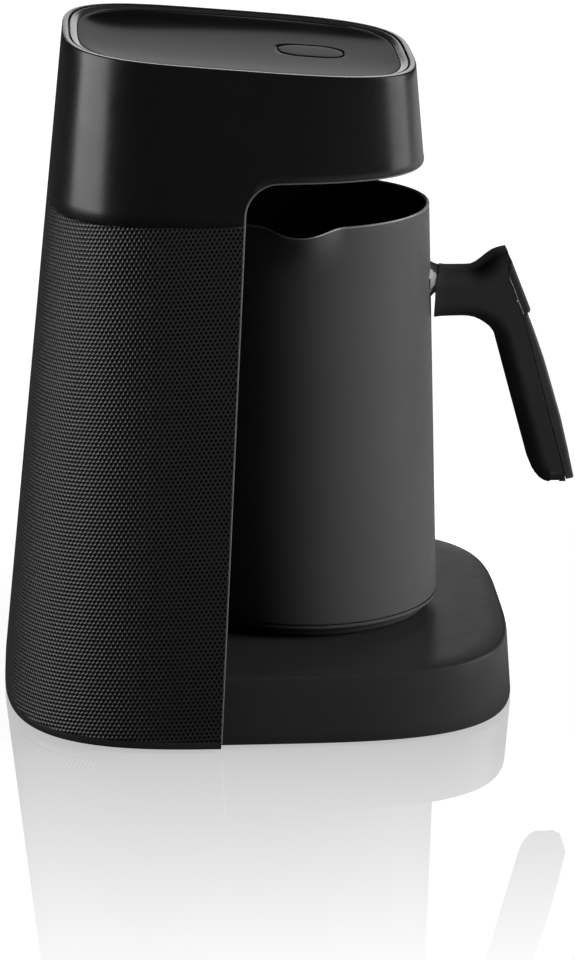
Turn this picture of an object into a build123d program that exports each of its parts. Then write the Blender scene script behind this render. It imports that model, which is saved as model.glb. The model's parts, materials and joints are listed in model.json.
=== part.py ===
from build123d import *
import os
from math import atan, cos, pi, sin

# ---------------------------------------------------------------------------
# Driving dimensions, millimetres.
# +X is the front, where the pot slides out. +Z is up. The origin is the centre
# of the footprint on the counter.

# Casing: a squircle in plan, whose extents move evenly with height
CASING_BACK = -83.5
BACK_LEAN = 0.1044
CASING_FRONT = 68.8
FRONT_LEAN = -0.0848
CASING_HALF_WIDTH = 85.2
SIDE_LEAN = -0.1428
WIDEST_X = -6.1
WIDEST_LEAN = -0.0415
REAR_POWER = 3.3
FRONT_POWER = 3.7
OUTLINE_POINTS = 64
WALL = 2.4
FIT_GAP = 0.2

# Heights of the casing's pieces
SHELL_BOTTOM = 1.2
SPLIT_HEIGHT = 164.2
HEAD_BOTTOM = 177.3
TOP_HEIGHT = 211.35
TOP_SLOPE = 0.0845
RIM_WIDTH = 1.9
GROOVE_WIDTH = 0.6
GROOVE_DEPTH = 1.6
BEZEL_INSET = RIM_WIDTH + GROOVE_WIDTH
BEZEL_TOP = 0.15
BEZEL_WIDTH = 2.4
BEZEL_DROP = 0.8
DISH_DEPTH = 2.2

# Bay opening: its front edge leans forward, its upper corner is round
BAY_EDGE_X = -14.7
BAY_EDGE_LEAN = 0.0555
BAY_CORNER_RADIUS = 10.5
BAY_RADIUS = 47.5
BAY_SETBACK = 2.0

# Platform that the pot stands on
PLATFORM_TOP = 22.8
PLATFORM_BACK = -79.6
PLATFORM_FRONT = 83.5
PLATFORM_FRONT_LEAN = -0.0703
PLATFORM_HALF_WIDTH = 81.4
FOOT_RADIUS = 7.0
FOOT_X = 56.0
FOOT_Y = 52.0
BASE_SCREW_X = 40.0
BASE_SCREW_Y = 62.0

# Pot
POT_X = 17.6
POT_BOTTOM = 26.4
POT_RIM = 158.4
POT_BOTTOM_RADIUS = 43.0
POT_RIM_RADIUS = 38.9
POT_WALL = 1.2
POT_FLOOR = 40.0
SPOUT_ANGLE = -96.0
SPOUT_REACH = 49.0
SPOUT_RADIUS = 8.0
SPOUT_DEPTH = 30.0

# Coupler between base and pot
BOSS_RADIUS = 17.0
BOSS_TOP = 24.8
CONTACT_RADII = (14.2, 9.0)
CONTACT_WIDTH = 1.6
POT_CUP_BOTTOM = 23.1
POT_COUPLER_BOTTOM = 25.2

# Handle
HANDLE_HALF_WIDTH = 9.5
HANDLE_ROUNDING = 5.0
HANDLE_TOP = 135.75
HANDLE_UNDERSIDE = 120.85
HANDLE_BOTTOM = 63.85
HANDLE_WALL_GAP = 2.0

# Button, measured along and across the sloping top
BUTTON_X = 18.8
BUTTON_LENGTH = 20.8
BUTTON_WIDTH = 19.6
BUTTON_CORNER = 6.2
BUTTON_GAP = 0.3
BUTTON_TRAVEL = 0.9
BOARD_DEPTH = 17.0

# Way down through the platform for the coupler's leads
LEAD_X = -52.0
LEAD_SLOT = (7.0, 24.0)
LEAD_RADIUS = 1.1
LEAD_LOW = 7.0

# Fasteners
SCREW_RADIUS = 1.5
SCREW_HEAD_RADIUS = 2.8
SCREW_HEAD_HEIGHT = 2.0

TOP_TILT = atan(TOP_SLOPE)
TOP_PLANE = Plane(
    origin=(0, 0, TOP_HEIGHT),
    x_dir=(cos(TOP_TILT), 0, -sin(TOP_TILT)),
    z_dir=(sin(TOP_TILT), 0, cos(TOP_TILT)),
)
POT_AXIS = Axis((POT_X, 0, 0), (0, 0, 1))
POT_PLANE = Plane(origin=(POT_X, 0, 0), x_dir=(1, 0, 0), z_dir=(0, -1, 0))
POT_LEAN = (POT_BOTTOM_RADIUS - POT_RIM_RADIUS) / (POT_RIM - POT_BOTTOM)
OUTLINE_ANGLES = [2 * pi * step / OUTLINE_POINTS for step in range(OUTLINE_POINTS)]
BASE_ALIGN = (Align.CENTER, Align.CENTER, Align.MIN)
CORNERS = [(x, y) for x in (-1, 1) for y in (-1, 1)]


# ---------------------------------------------------------------------------
# Outlines and repeated shapes


def squircle_point(angle, back, front, half_width, widest):
    """Point at a polar angle on two superellipse halves that meet at the widest line."""
    power = FRONT_POWER if cos(angle) > 0 else REAR_POWER
    reach = front - widest if cos(angle) > 0 else widest - back
    radius = (abs(cos(angle)) ** power + abs(sin(angle)) ** power) ** (-1 / power)
    return widest + reach * radius * cos(angle), half_width * radius * sin(angle)


def casing_point(angle, height, inset):
    """Point of the casing's outline at a height, moved in by inset."""
    back = CASING_BACK + BACK_LEAN * height + inset
    front = CASING_FRONT + FRONT_LEAN * height - inset
    half_width = CASING_HALF_WIDTH + SIDE_LEAN * height - inset
    return squircle_point(angle, back, front, half_width, WIDEST_X + WIDEST_LEAN * height)


def platform_point(angle, height, inset):
    """Point of the platform's outline at a height, moved in by inset."""
    back = PLATFORM_BACK + BACK_LEAN * height + inset
    front = PLATFORM_FRONT + PLATFORM_FRONT_LEAN * height - inset
    half_width = PLATFORM_HALF_WIDTH + SIDE_LEAN * height - inset
    return squircle_point(angle, back, front, half_width, WIDEST_X)


def closed_face(plane, points):
    """Face inside a smooth closed curve through points of a plane."""
    with BuildSketch(plane) as face:
        with BuildLine():
            Spline(*points, periodic=True)
        make_face()
    return face.sketch


def casing_face(height, inset=0.0):
    """Level slice of the casing."""
    points = [casing_point(angle, height, inset) for angle in OUTLINE_ANGLES]
    return closed_face(Plane.XY.offset(height), points)


def platform_face(height, inset=0.0):
    """Level slice of the platform."""
    points = [platform_point(angle, height, inset) for angle in OUTLINE_ANGLES]
    return closed_face(Plane.XY.offset(height), points)


def top_face(depth, inset):
    """Slice of the casing parallel to its sloping top, at a depth under it."""
    plane = TOP_PLANE.offset(-depth)
    points = []
    for angle in OUTLINE_ANGLES:
        x = 0.0
        for _ in range(6):
            height = TOP_HEIGHT - TOP_SLOPE * x - depth / cos(TOP_TILT)
            x, y = casing_point(angle, height, inset)
        local = plane.to_local_coords(Vector(x, y, height))
        points.append((local.X, local.Y))
    return closed_face(plane, points)


def bay_edge_x(height):
    """Front edge of the casing's sides at a height."""
    return BAY_EDGE_X + BAY_EDGE_LEAN * height


def bay_face():
    """Side view of the space in front of the column and under the head."""
    with BuildSketch(Plane.XZ) as face:
        with BuildLine():
            FilletPolyline(
                (bay_edge_x(-5), -5),
                (bay_edge_x(HEAD_BOTTOM), HEAD_BOTTOM),
                (120, HEAD_BOTTOM),
                (120, -5),
                radius=BAY_CORNER_RADIUS,
            )
            Line((120, -5), (bay_edge_x(-5), -5))
        make_face()
    return face.sketch


def pot_profile(*corners):
    """Face through (radius, height) corners beside the pot's axis."""
    with BuildSketch(POT_PLANE) as face:
        with BuildLine():
            Polyline(*corners, close=True)
        make_face()
    return face.sketch


def ring_profile(inner, outer, low, high):
    """Rectangular section of a ring round the pot's axis."""
    return pot_profile((inner, low), (outer, low), (outer, high), (inner, high))


def pot_radius(height):
    """Outside radius of the pot's wall at a height."""
    return POT_BOTTOM_RADIUS - POT_LEAN * (height - POT_BOTTOM)


def side_face(*corners):
    """Face through (x, z) corners in the plane of symmetry."""
    with BuildSketch(Plane.XZ) as face:
        with BuildLine():
            Polyline(*corners, close=True)
        make_face()
    return face.sketch


def screw(length):
    """Pan-head screw, head up, with the head's underside at the origin."""
    with BuildPart() as one:
        Cylinder(SCREW_HEAD_RADIUS, SCREW_HEAD_HEIGHT, align=BASE_ALIGN)
        fillet(one.edges().group_by(Axis.Z)[-1], 0.7)
        Cylinder(SCREW_RADIUS, length, align=(Align.CENTER, Align.CENTER, Align.MAX))
        for turn in (0, 90):
            with Locations(Location((0, 0, SCREW_HEAD_HEIGHT), (0, 0, turn))):
                Box(3.0, 0.7, 2.0, mode=Mode.SUBTRACT)
    return one.part


def wire_along(radius, *corners, bend=4.0):
    """Round insulated wire through corner points, with its bends rounded."""
    with BuildPart() as wire:
        with BuildLine() as path:
            FilletPolyline(*corners, radius=bend)
        start = path.line @ 0
        with BuildSketch(Plane(origin=start, z_dir=path.line % 0)):
            Circle(radius)
        sweep(path=path.line)
    return wire.part


os.makedirs("parts", exist_ok=True)


def save(builder, name):
    """Label a finished piece and write its STEP file."""
    builder.part.label = name
    export_step(builder.part, f"parts/{name}.step")


# ---------------------------------------------------------------------------
# Base

PLATE_BOTTOM = SHELL_BOTTOM
PLATE_TOP = PLATE_BOTTOM + 2.2
PLATE_INSET = WALL + 0.4
BOSS_HEIGHT_GAP = 0.1
FOOT_PLACES = [(0, 0)] + [(FOOT_X * x, FOOT_Y * y) for x, y in CORNERS]
BASE_SCREW_PLACES = [(BASE_SCREW_X * x, BASE_SCREW_Y * y) for x, y in CORNERS]

# The platform's outer edges are eased in two small steps, as (height, inset)
PLATFORM_STEPS = [
    (SHELL_BOTTOM, 0.7),
    (SHELL_BOTTOM + 0.7, 0.0),
    (PLATFORM_TOP - 1.0, 0.0),
    (PLATFORM_TOP - 0.3, 0.3),
    (PLATFORM_TOP, 1.0),
]

# Platform shell, open underneath, with a hole for the coupler
with BuildPart() as base_shell:
    loft(sections=[platform_face(height, inset) for height, inset in PLATFORM_STEPS], ruled=True)
    loft(
        sections=[platform_face(SHELL_BOTTOM, WALL), platform_face(PLATFORM_TOP - WALL, WALL)],
        ruled=True,
        mode=Mode.SUBTRACT,
    )
    with BuildSketch(Plane.XY.offset(PLATE_TOP + BOSS_HEIGHT_GAP)):
        with Locations(*BASE_SCREW_PLACES):
            Circle(3.8)
    extrude(amount=PLATFORM_TOP - WALL / 2 - PLATE_TOP)
    with BuildSketch(Plane.XY.offset(PLATE_TOP)):
        with Locations(*BASE_SCREW_PLACES):
            Circle(SCREW_RADIUS)
    extrude(amount=12, mode=Mode.SUBTRACT)
    with BuildSketch(Plane.XY.offset(PLATFORM_TOP - 5)):
        with Locations((POT_X, 0)):
            Circle(BOSS_RADIUS + FIT_GAP)
        with Locations((LEAD_X, 0)):
            RectangleRounded(*LEAD_SLOT, 2)
    extrude(amount=10, mode=Mode.SUBTRACT)
save(base_shell, "base_shell")

# Bottom plate, with pockets for the feet, countersunk screw holes and air slots
with BuildPart() as base_plate:
    loft(
        sections=[platform_face(PLATE_BOTTOM, PLATE_INSET), platform_face(PLATE_TOP, PLATE_INSET)],
        ruled=True,
    )
    with BuildSketch(Plane.XY.offset(PLATE_BOTTOM)):
        with Locations(*FOOT_PLACES):
            Circle(FOOT_RADIUS)
    extrude(amount=1.0, mode=Mode.SUBTRACT)
    with BuildSketch(Plane.XY.offset(PLATE_BOTTOM)):
        with Locations(*BASE_SCREW_PLACES):
            Circle(SCREW_RADIUS + 0.1)
        with GridLocations(60, 7, 2, 5):
            SlotOverall(36, 2.6)
    extrude(amount=PLATE_TOP - PLATE_BOTTOM, mode=Mode.SUBTRACT)
    with BuildSketch(Plane.XY.offset(PLATE_BOTTOM)):
        with Locations(*BASE_SCREW_PLACES):
            Circle(SCREW_HEAD_RADIUS + 0.3)
    extrude(amount=1.2, mode=Mode.SUBTRACT)
save(base_plate, "base_plate")

# Five rubber feet stuck in the pockets, the middle one under the coupler
with BuildPart() as rubber_feet:
    with BuildSketch():
        with Locations(*FOOT_PLACES):
            Circle(FOOT_RADIUS - 0.15)
    extrude(amount=PLATE_BOTTOM + 1.0)
    fillet(rubber_feet.edges().group_by(Axis.Z)[0], 0.5)
save(rubber_feet, "rubber_feet")

# Screws that hold the bottom plate to the platform's bosses
with BuildPart() as base_screws:
    for x, y in BASE_SCREW_PLACES:
        with Locations(Location((x, y, PLATE_BOTTOM + 1.2), (180, 0, 0))):
            add(screw(9))
    split(bisect_by=Plane.XY.offset(0.5), keep=Keep.TOP)
save(base_screws, "base_screws")

# Coupler socket: a low round boss through the platform with a flange under it
with BuildPart() as coupler_socket:
    revolve(
        pot_profile(
            (0, 12), (13, 12), (13, 18.2), (24, 18.2), (24, 20.3),
            (BOSS_RADIUS, 20.3), (BOSS_RADIUS, BOSS_TOP - 0.4), (BOSS_RADIUS - 0.4, BOSS_TOP), (0, BOSS_TOP),
        ),
        axis=POT_AXIS,
    )
    for radius in CONTACT_RADII:
        revolve(
            ring_profile(radius - CONTACT_WIDTH / 2, radius + CONTACT_WIDTH / 2, BOSS_TOP - 2, BOSS_TOP + 1),
            axis=POT_AXIS,
            mode=Mode.SUBTRACT,
        )
    with Locations((POT_X, 0, BOSS_TOP)):
        Cylinder(2.4, 4, mode=Mode.SUBTRACT)
save(coupler_socket, "coupler_socket")

# Brass rings and centre stud that carry the current to the pot
with BuildPart() as coupler_contacts:
    for radius in CONTACT_RADII:
        revolve(
            ring_profile(radius - CONTACT_WIDTH / 2, radius + CONTACT_WIDTH / 2, BOSS_TOP - 2, BOSS_TOP),
            axis=POT_AXIS,
        )
    with Locations((POT_X, 0, BOSS_TOP - 2)):
        Cylinder(2.4, 2, align=BASE_ALIGN)
save(coupler_contacts, "coupler_contacts")

# Silicone collar that keeps spills out of the coupler's hole
with BuildPart() as coupler_seal:
    revolve(
        pot_profile(
            (BOSS_RADIUS, PLATFORM_TOP), (BOSS_RADIUS + 2.6, PLATFORM_TOP),
            (BOSS_RADIUS + 2.2, PLATFORM_TOP + 0.6), (BOSS_RADIUS, PLATFORM_TOP + 0.9),
        ),
        axis=POT_AXIS,
    )
save(coupler_seal, "coupler_seal")


# ---------------------------------------------------------------------------
# Column and head casing

GLAND_HEIGHT = 40.0
GLAND_RADIUS = 6.0
GLAND_BORE = 3.6
GLAND_PLANE = Plane(
    origin=(CASING_BACK + BACK_LEAN * GLAND_HEIGHT, 0, GLAND_HEIGHT),
    x_dir=(0, 1, 0),
    z_dir=(-1, 0, BACK_LEAN),
)

# Lower shell: the textured skin round the column, open at the bay
with BuildPart() as column_shell:
    loft(sections=[casing_face(SHELL_BOTTOM), casing_face(SPLIT_HEIGHT)], ruled=True)
    loft(
        sections=[casing_face(SHELL_BOTTOM, WALL), casing_face(SPLIT_HEIGHT, WALL)],
        ruled=True,
        mode=Mode.SUBTRACT,
    )
    extrude(bay_face(), amount=120, both=True, mode=Mode.SUBTRACT)
    with BuildSketch(GLAND_PLANE):
        Circle(GLAND_RADIUS + 0.1)
    extrude(amount=8, both=True, mode=Mode.SUBTRACT)
save(column_shell, "column_shell")

# Upper shell: the glossy head that overhangs the pot, with a lip into the lower shell
HEAD_SEAT = SPLIT_HEIGHT + 0.3
LIP_BOTTOM = SPLIT_HEIGHT - 8
LIP_TOP = SPLIT_HEIGHT + 4
LIP_FRONT = bay_edge_x(SPLIT_HEIGHT) - BAY_SETBACK - WALL - 0.6
LIP_HALF_WIDTH = CASING_HALF_WIDTH + SIDE_LEAN * SPLIT_HEIGHT - WALL
with BuildPart() as head_shell:
    above_top = TOP_HEIGHT + 12
    loft(sections=[casing_face(HEAD_SEAT), casing_face(above_top)], ruled=True)
    split(bisect_by=TOP_PLANE, keep=Keep.BOTTOM)
    loft(
        sections=[casing_face(LIP_BOTTOM, WALL + FIT_GAP), casing_face(LIP_TOP + 2, WALL + FIT_GAP)],
        ruled=True,
    )
    loft(
        sections=[casing_face(LIP_BOTTOM - 1, 2 * WALL), casing_face(LIP_TOP + 3, 2 * WALL)],
        ruled=True,
        mode=Mode.SUBTRACT,
    )
    loft(
        sections=[casing_face(LIP_TOP, WALL), casing_face(above_top + 0.5, WALL)],
        ruled=True,
        mode=Mode.SUBTRACT,
    )
    loft(sections=[top_face(GROOVE_DEPTH, RIM_WIDTH), top_face(-1, RIM_WIDTH)], ruled=True, mode=Mode.SUBTRACT)
    extrude(
        side_face(
            (LIP_FRONT, LIP_BOTTOM - 5), (120, LIP_BOTTOM - 5),
            (120, SPLIT_HEIGHT + 0.1), (LIP_FRONT, SPLIT_HEIGHT + 0.1),
        ),
        amount=LIP_HALF_WIDTH + 5,
        both=True,
        mode=Mode.SUBTRACT,
    )
    extrude(
        side_face(
            (LIP_FRONT, SPLIT_HEIGHT), (120, SPLIT_HEIGHT),
            (120, LIP_TOP + 0.5), (LIP_FRONT, LIP_TOP + 0.5),
        ),
        amount=LIP_HALF_WIDTH,
        both=True,
        mode=Mode.SUBTRACT,
    )
    extrude(bay_face(), amount=120, both=True, mode=Mode.SUBTRACT)
save(head_shell, "head_shell")

# Front wall of the column: two wings and a round bay behind the pot
with BuildPart() as bay_wall:
    loft(
        sections=[casing_face(PLATFORM_TOP, WALL + FIT_GAP), casing_face(HEAD_BOTTOM, WALL + FIT_GAP)],
        ruled=True,
    )
    wall_front = bay_edge_x(0) - BAY_SETBACK
    rise = HEAD_BOTTOM - PLATFORM_TOP - 2 * FIT_GAP
    run = BAY_EDGE_LEAN * HEAD_BOTTOM
    extrude(
        side_face(
            (wall_front - WALL, 0), (wall_front, 0),
            (wall_front + run, HEAD_BOTTOM), (wall_front + run - WALL, HEAD_BOTTOM),
        ),
        amount=120,
        both=True,
        mode=Mode.INTERSECT,
    )
    with BuildSketch(Plane.XY.offset(PLATFORM_TOP)):
        with Locations((POT_X, 0)):
            Circle(BAY_RADIUS + WALL)
    extrude(amount=HEAD_BOTTOM - PLATFORM_TOP)
    extrude(
        side_face((wall_front, 0), (120, 0), (120, HEAD_BOTTOM), (wall_front + run, HEAD_BOTTOM)),
        amount=120,
        both=True,
        mode=Mode.SUBTRACT,
    )
    with BuildSketch(Plane.XY.offset(PLATFORM_TOP)):
        with Locations((POT_X, 0)):
            Circle(BAY_RADIUS)
    extrude(amount=HEAD_BOTTOM - PLATFORM_TOP, mode=Mode.SUBTRACT)
    split(bisect_by=Plane.XY.offset(PLATFORM_TOP + FIT_GAP / 2), keep=Keep.TOP)
    split(bisect_by=Plane.XY.offset(HEAD_BOTTOM - FIT_GAP), keep=Keep.BOTTOM)
save(bay_wall, "bay_wall")

# Underside of the head, with a hole for the sensor window and screw holes
FLOOR_BOTTOM = HEAD_BOTTOM + 0.2
FLOOR_TOP = FLOOR_BOTTOM + 2.2
FLOOR_REAR = -36.0
SENSOR_RADIUS = 5.0
POST_PLACES = [(-10, -30), (-10, 30), (38, -30), (38, 30)]
with BuildPart() as head_floor:
    loft(
        sections=[casing_face(FLOOR_BOTTOM, WALL + FIT_GAP), casing_face(FLOOR_TOP, WALL + FIT_GAP)],
        ruled=True,
    )
    split(bisect_by=Plane.YZ.offset(FLOOR_REAR), keep=Keep.TOP)
    with BuildSketch(Plane.XY.offset(FLOOR_BOTTOM)):
        with Locations((POT_X, 0)):
            Circle(SENSOR_RADIUS)
        with Locations(*POST_PLACES):
            Circle(SCREW_RADIUS + 0.1)
    extrude(amount=FLOOR_TOP - FLOOR_BOTTOM, mode=Mode.SUBTRACT)
    with BuildSketch(Plane.XY.offset(FLOOR_BOTTOM)):
        with Locations(*POST_PLACES):
            Circle(SCREW_HEAD_RADIUS + 0.3)
    extrude(amount=1.2, mode=Mode.SUBTRACT)
save(head_floor, "head_floor")

# Bezel inside the groove: its top slopes down towards the dish
with BuildPart() as top_bezel:
    loft(sections=[top_face(7, BEZEL_INSET + 0.15), top_face(BEZEL_TOP, BEZEL_INSET)], ruled=True)
    loft(
        sections=[
            top_face(BEZEL_TOP + BEZEL_DROP, BEZEL_INSET + BEZEL_WIDTH),
            top_face(BEZEL_TOP - 0.2, BEZEL_INSET - 0.6),
        ],
        ruled=True,
        mode=Mode.SUBTRACT,
    )
    loft(
        sections=[top_face(8, BEZEL_INSET + BEZEL_WIDTH), top_face(0, BEZEL_INSET + BEZEL_WIDTH)],
        ruled=True,
        mode=Mode.SUBTRACT,
    )
save(top_bezel, "top_bezel")

# Dished panel inside the bezel, with the button's hole and four screw posts
PANEL_INSET = BEZEL_INSET + BEZEL_WIDTH + 0.15
PANEL_TOP = BEZEL_TOP + BEZEL_DROP + 0.1
PANEL_BOTTOM = DISH_DEPTH + 2.0
DISH_STEPS = [(PANEL_TOP - 0.2, 0.0), (1.6, 3.0), (2.0, 8.0), (DISH_DEPTH, 14.0)]
BUTTON_PLANE = TOP_PLANE.shift_origin(TOP_PLANE.from_local_coords(Vector(BUTTON_X, 0, 0)))
with BuildPart() as top_panel:
    loft(sections=[top_face(PANEL_BOTTOM, PANEL_INSET), top_face(PANEL_TOP, PANEL_INSET)], ruled=True)
    loft(
        sections=[top_face(depth, PANEL_INSET + inset + 0.1) for depth, inset in DISH_STEPS],
        ruled=True,
        mode=Mode.SUBTRACT,
    )
    with BuildSketch(BUTTON_PLANE.offset(-PANEL_BOTTOM)):
        RectangleRounded(BUTTON_LENGTH + 2 * BUTTON_GAP, BUTTON_WIDTH + 2 * BUTTON_GAP, BUTTON_CORNER + BUTTON_GAP)
    extrude(amount=PANEL_BOTTOM, mode=Mode.SUBTRACT)
    with BuildSketch(Plane.XY.offset(FLOOR_TOP + 0.1)):
        with Locations(*POST_PLACES):
            Circle(3.4)
    extrude(until=Until.NEXT)
    with BuildSketch(Plane.XY.offset(FLOOR_TOP)):
        with Locations(*POST_PLACES):
            Circle(SCREW_RADIUS)
    extrude(amount=12, mode=Mode.SUBTRACT)
save(top_panel, "top_panel")

# Screws up through the head's underside into the panel's posts
with BuildPart() as head_screws:
    for x, y in POST_PLACES:
        with Locations(Location((x, y, FLOOR_BOTTOM + 1.2), (180, 0, 0))):
            add(screw(9))
    split(bisect_by=Plane.XY.offset(HEAD_BOTTOM - 0.7), keep=Keep.TOP)
save(head_screws, "head_screws")

# Moulded bush, flush with the back wall, that the mains cord comes out of
with BuildPart() as cord_gland:
    with BuildSketch(GLAND_PLANE):
        Circle(GLAND_RADIUS)
    extrude(amount=-WALL - 0.1)
    fillet(cord_gland.edges().sort_by(Axis.X)[0], 0.6)
    with BuildSketch(GLAND_PLANE.offset(-WALL - 0.1)):
        Circle(GLAND_RADIUS + 1.6)
    extrude(amount=-3)
    with BuildSketch(GLAND_PLANE.offset(-10)):
        Circle(GLAND_BORE)
    extrude(amount=20, mode=Mode.SUBTRACT)
save(cord_gland, "cord_gland")


# ---------------------------------------------------------------------------
# Inside the column

FRAME_X = -38.0
FRAME_THICKNESS = 2.5
BOARD_X = -46.0
BOARD_THICKNESS = 1.6
BOARD_HALF_WIDTH = 36.0
BOARD_LOW = 62.0
BOARD_HIGH = 146.0
BOARD_SCREW_PLACES = [(y, z) for y in (-31, 31) for z in (BOARD_LOW + 5, BOARD_HIGH - 5)]
FRAME_BACK = FRAME_X - FRAME_THICKNESS

# Upright chassis behind the bay, with a foot on the platform and board pillars
with BuildPart() as inner_frame:
    extrude(
        side_face(
            (FRAME_X, PLATFORM_TOP + 0.1), (FRAME_X, HEAD_BOTTOM - 2),
            (FRAME_BACK, HEAD_BOTTOM - 2), (FRAME_BACK, PLATFORM_TOP + 3),
            (FRAME_BACK - 16, PLATFORM_TOP + 3), (FRAME_BACK - 16, PLATFORM_TOP + 0.1),
        ),
        amount=42,
        both=True,
    )
    with BuildSketch(Plane.YZ.offset(FRAME_BACK)):
        with Locations(*BOARD_SCREW_PLACES):
            Circle(3.2)
    extrude(amount=BOARD_X + BOARD_THICKNESS - FRAME_BACK)
    with BuildSketch(Plane.YZ.offset(BOARD_X)):
        with Locations(*BOARD_SCREW_PLACES):
            Circle(SCREW_RADIUS)
    extrude(amount=12, mode=Mode.SUBTRACT)
    with BuildSketch(Plane.YZ.offset(FRAME_X)):
        with Locations((0, 104)):
            RectangleRounded(34, 60, 6)
    extrude(amount=8, both=True, mode=Mode.SUBTRACT)
    with BuildSketch(Plane.XY.offset(PLATFORM_TOP)):
        with Locations((LEAD_X, 0)):
            RectangleRounded(*LEAD_SLOT, 2)
    extrude(amount=5, mode=Mode.SUBTRACT)
save(inner_frame, "inner_frame")

# Power board on the pillars
with BuildPart() as power_board:
    with BuildSketch(Plane.YZ.offset(BOARD_X)):
        with Locations((0, (BOARD_LOW + BOARD_HIGH) / 2)):
            RectangleRounded(2 * BOARD_HALF_WIDTH, BOARD_HIGH - BOARD_LOW, 3)
        with Locations(*BOARD_SCREW_PLACES):
            Circle(SCREW_RADIUS + 0.1, mode=Mode.SUBTRACT)
    extrude(amount=BOARD_THICKNESS)
save(power_board, "power_board")

with BuildPart() as board_screws:
    for y, z in BOARD_SCREW_PLACES:
        with Locations(Location((BOARD_X, y, z), (0, -90, 0))):
            add(screw(9))
save(board_screws, "board_screws")

# Transformer: laminated core round a wound bobbin
with BuildPart() as transformer:
    with Locations((BOARD_X, 15, 122)):
        Box(10, 20, 30, align=(Align.MAX, Align.CENTER, Align.CENTER))
        Box(16, 30, 20, align=(Align.MAX, Align.CENTER, Align.CENTER))
    chamfer(transformer.edges().filter_by(Axis.X), 1.0)
save(transformer, "transformer")

with BuildPart() as relay:
    with Locations((BOARD_X, -16, 118)):
        Box(16, 20, 28, align=(Align.MAX, Align.CENTER, Align.CENTER))
    fillet(relay.edges().filter_by(Axis.X), 1.0)
save(relay, "relay")

# Electrolytic capacitors standing off the board
with BuildPart() as capacitors:
    with BuildSketch(Plane.YZ.offset(BOARD_X)):
        with Locations((-26, 92), (-14, 92)):
            Circle(5.0)
    extrude(amount=-18)
    fillet(capacitors.edges().group_by(Axis.X)[0], 0.8)
save(capacitors, "capacitors")

# Aluminium heat sink with four fins, which cools the triac
with BuildPart() as heat_sink:
    with Locations((BOARD_X, 18, 90)):
        Box(3, 26, 24, align=(Align.MAX, Align.CENTER, Align.CENTER))
    with Locations((BOARD_X - 3, 18, 90)):
        with GridLocations(0, 7, 1, 4):
            Box(12, 1.6, 24, align=(Align.MAX, Align.CENTER, Align.CENTER))
save(heat_sink, "heat_sink")

with BuildPart() as terminal_block:
    with Locations((BOARD_X, 0, BOARD_LOW + 8)):
        Box(11, 22, 10, align=(Align.MAX, Align.CENTER, Align.CENTER))
    with BuildSketch(Plane.XY.offset(BOARD_LOW + 3)):
        with Locations((LEAD_X, 0)):
            with GridLocations(0, 7, 1, 3):
                Circle(LEAD_RADIUS + 0.1)
    extrude(amount=6, mode=Mode.SUBTRACT)
save(terminal_block, "terminal_block")

# Glass fuse in its clips beside the terminal block
with BuildPart() as fuse:
    with BuildSketch(Plane.XZ.offset(-14)):
        with Locations((BOARD_X - 4, BOARD_LOW + 8)):
            Circle(2.6)
    extrude(amount=-12)
save(fuse, "fuse")

# Triac screwed flat to the heat sink's foot
with BuildPart() as triac:
    with Locations((BOARD_X, -1, 88)):
        Box(4.4, 10, 15, align=(Align.MAX, Align.CENTER, Align.CENTER))
    fillet(triac.edges().filter_by(Axis.X), 0.5)
save(triac, "triac")

# Two mains leads from the gland up to the terminal block
with BuildPart() as mains_leads:
    for y in (-1.8, 1.8):
        add(
            wire_along(
                LEAD_RADIUS,
                (CASING_BACK + BACK_LEAN * GLAND_HEIGHT + 9, y, GLAND_HEIGHT),
                (LEAD_X - 6.5, y, GLAND_HEIGHT),
                (LEAD_X - 6.5, y, BOARD_LOW + 8),
                (LEAD_X - 5, y, BOARD_LOW + 8),
                bend=1.4,
            )
        )
save(mains_leads, "mains_leads")

# Three leads from the terminal block down to the coupler
with BuildPart() as coupler_leads:
    for y in (-7, 0, 7):
        add(
            wire_along(
                LEAD_RADIUS,
                (LEAD_X, y, BOARD_LOW + 6),
                (LEAD_X, y, LEAD_LOW),
                (POT_X - 4, y, LEAD_LOW),
                (POT_X - 4, y, 12),
                bend=2.5,
            )
        )
save(coupler_leads, "coupler_leads")


# ---------------------------------------------------------------------------
# Inside the head

# Clear window over the pot that the foam sensor looks through
with BuildPart() as sensor_window:
    with BuildSketch(Plane.XY.offset(FLOOR_BOTTOM)):
        with Locations((POT_X, 0)):
            Circle(SENSOR_RADIUS - 0.1)
    extrude(amount=FLOOR_TOP - FLOOR_BOTTOM)
    with BuildSketch(Plane.XY.offset(FLOOR_TOP)):
        with Locations((POT_X, 0)):
            Circle(SENSOR_RADIUS + 1.5)
    extrude(amount=0.8)
save(sensor_window, "sensor_window")

with BuildPart() as foam_sensor:
    with Locations((POT_X, 0, FLOOR_TOP + 1.0)):
        Box(16, 20, 1.2, align=BASE_ALIGN)
    with Locations((POT_X, 0, FLOOR_TOP + 2.2)):
        Box(7, 5, 4, align=BASE_ALIGN)
save(foam_sensor, "foam_sensor")

# Control board hung under the panel, parallel to it
BOARD_HALF_LENGTH = 24.0
with BuildPart() as control_board:
    with BuildSketch(BUTTON_PLANE.offset(-BOARD_DEPTH)):
        with Locations((-6, 0)):
            RectangleRounded(2 * BOARD_HALF_LENGTH, 44, 3)
    extrude(amount=-BOARD_THICKNESS)
save(control_board, "control_board")

with BuildPart() as tact_switch:
    with BuildSketch(BUTTON_PLANE.offset(-BOARD_DEPTH)):
        RectangleRounded(6, 6, 0.4)
    extrude(amount=3)
    with BuildSketch(BUTTON_PLANE.offset(-BOARD_DEPTH + 3)):
        Circle(1.6)
    extrude(amount=0.8)
save(tact_switch, "tact_switch")

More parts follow.
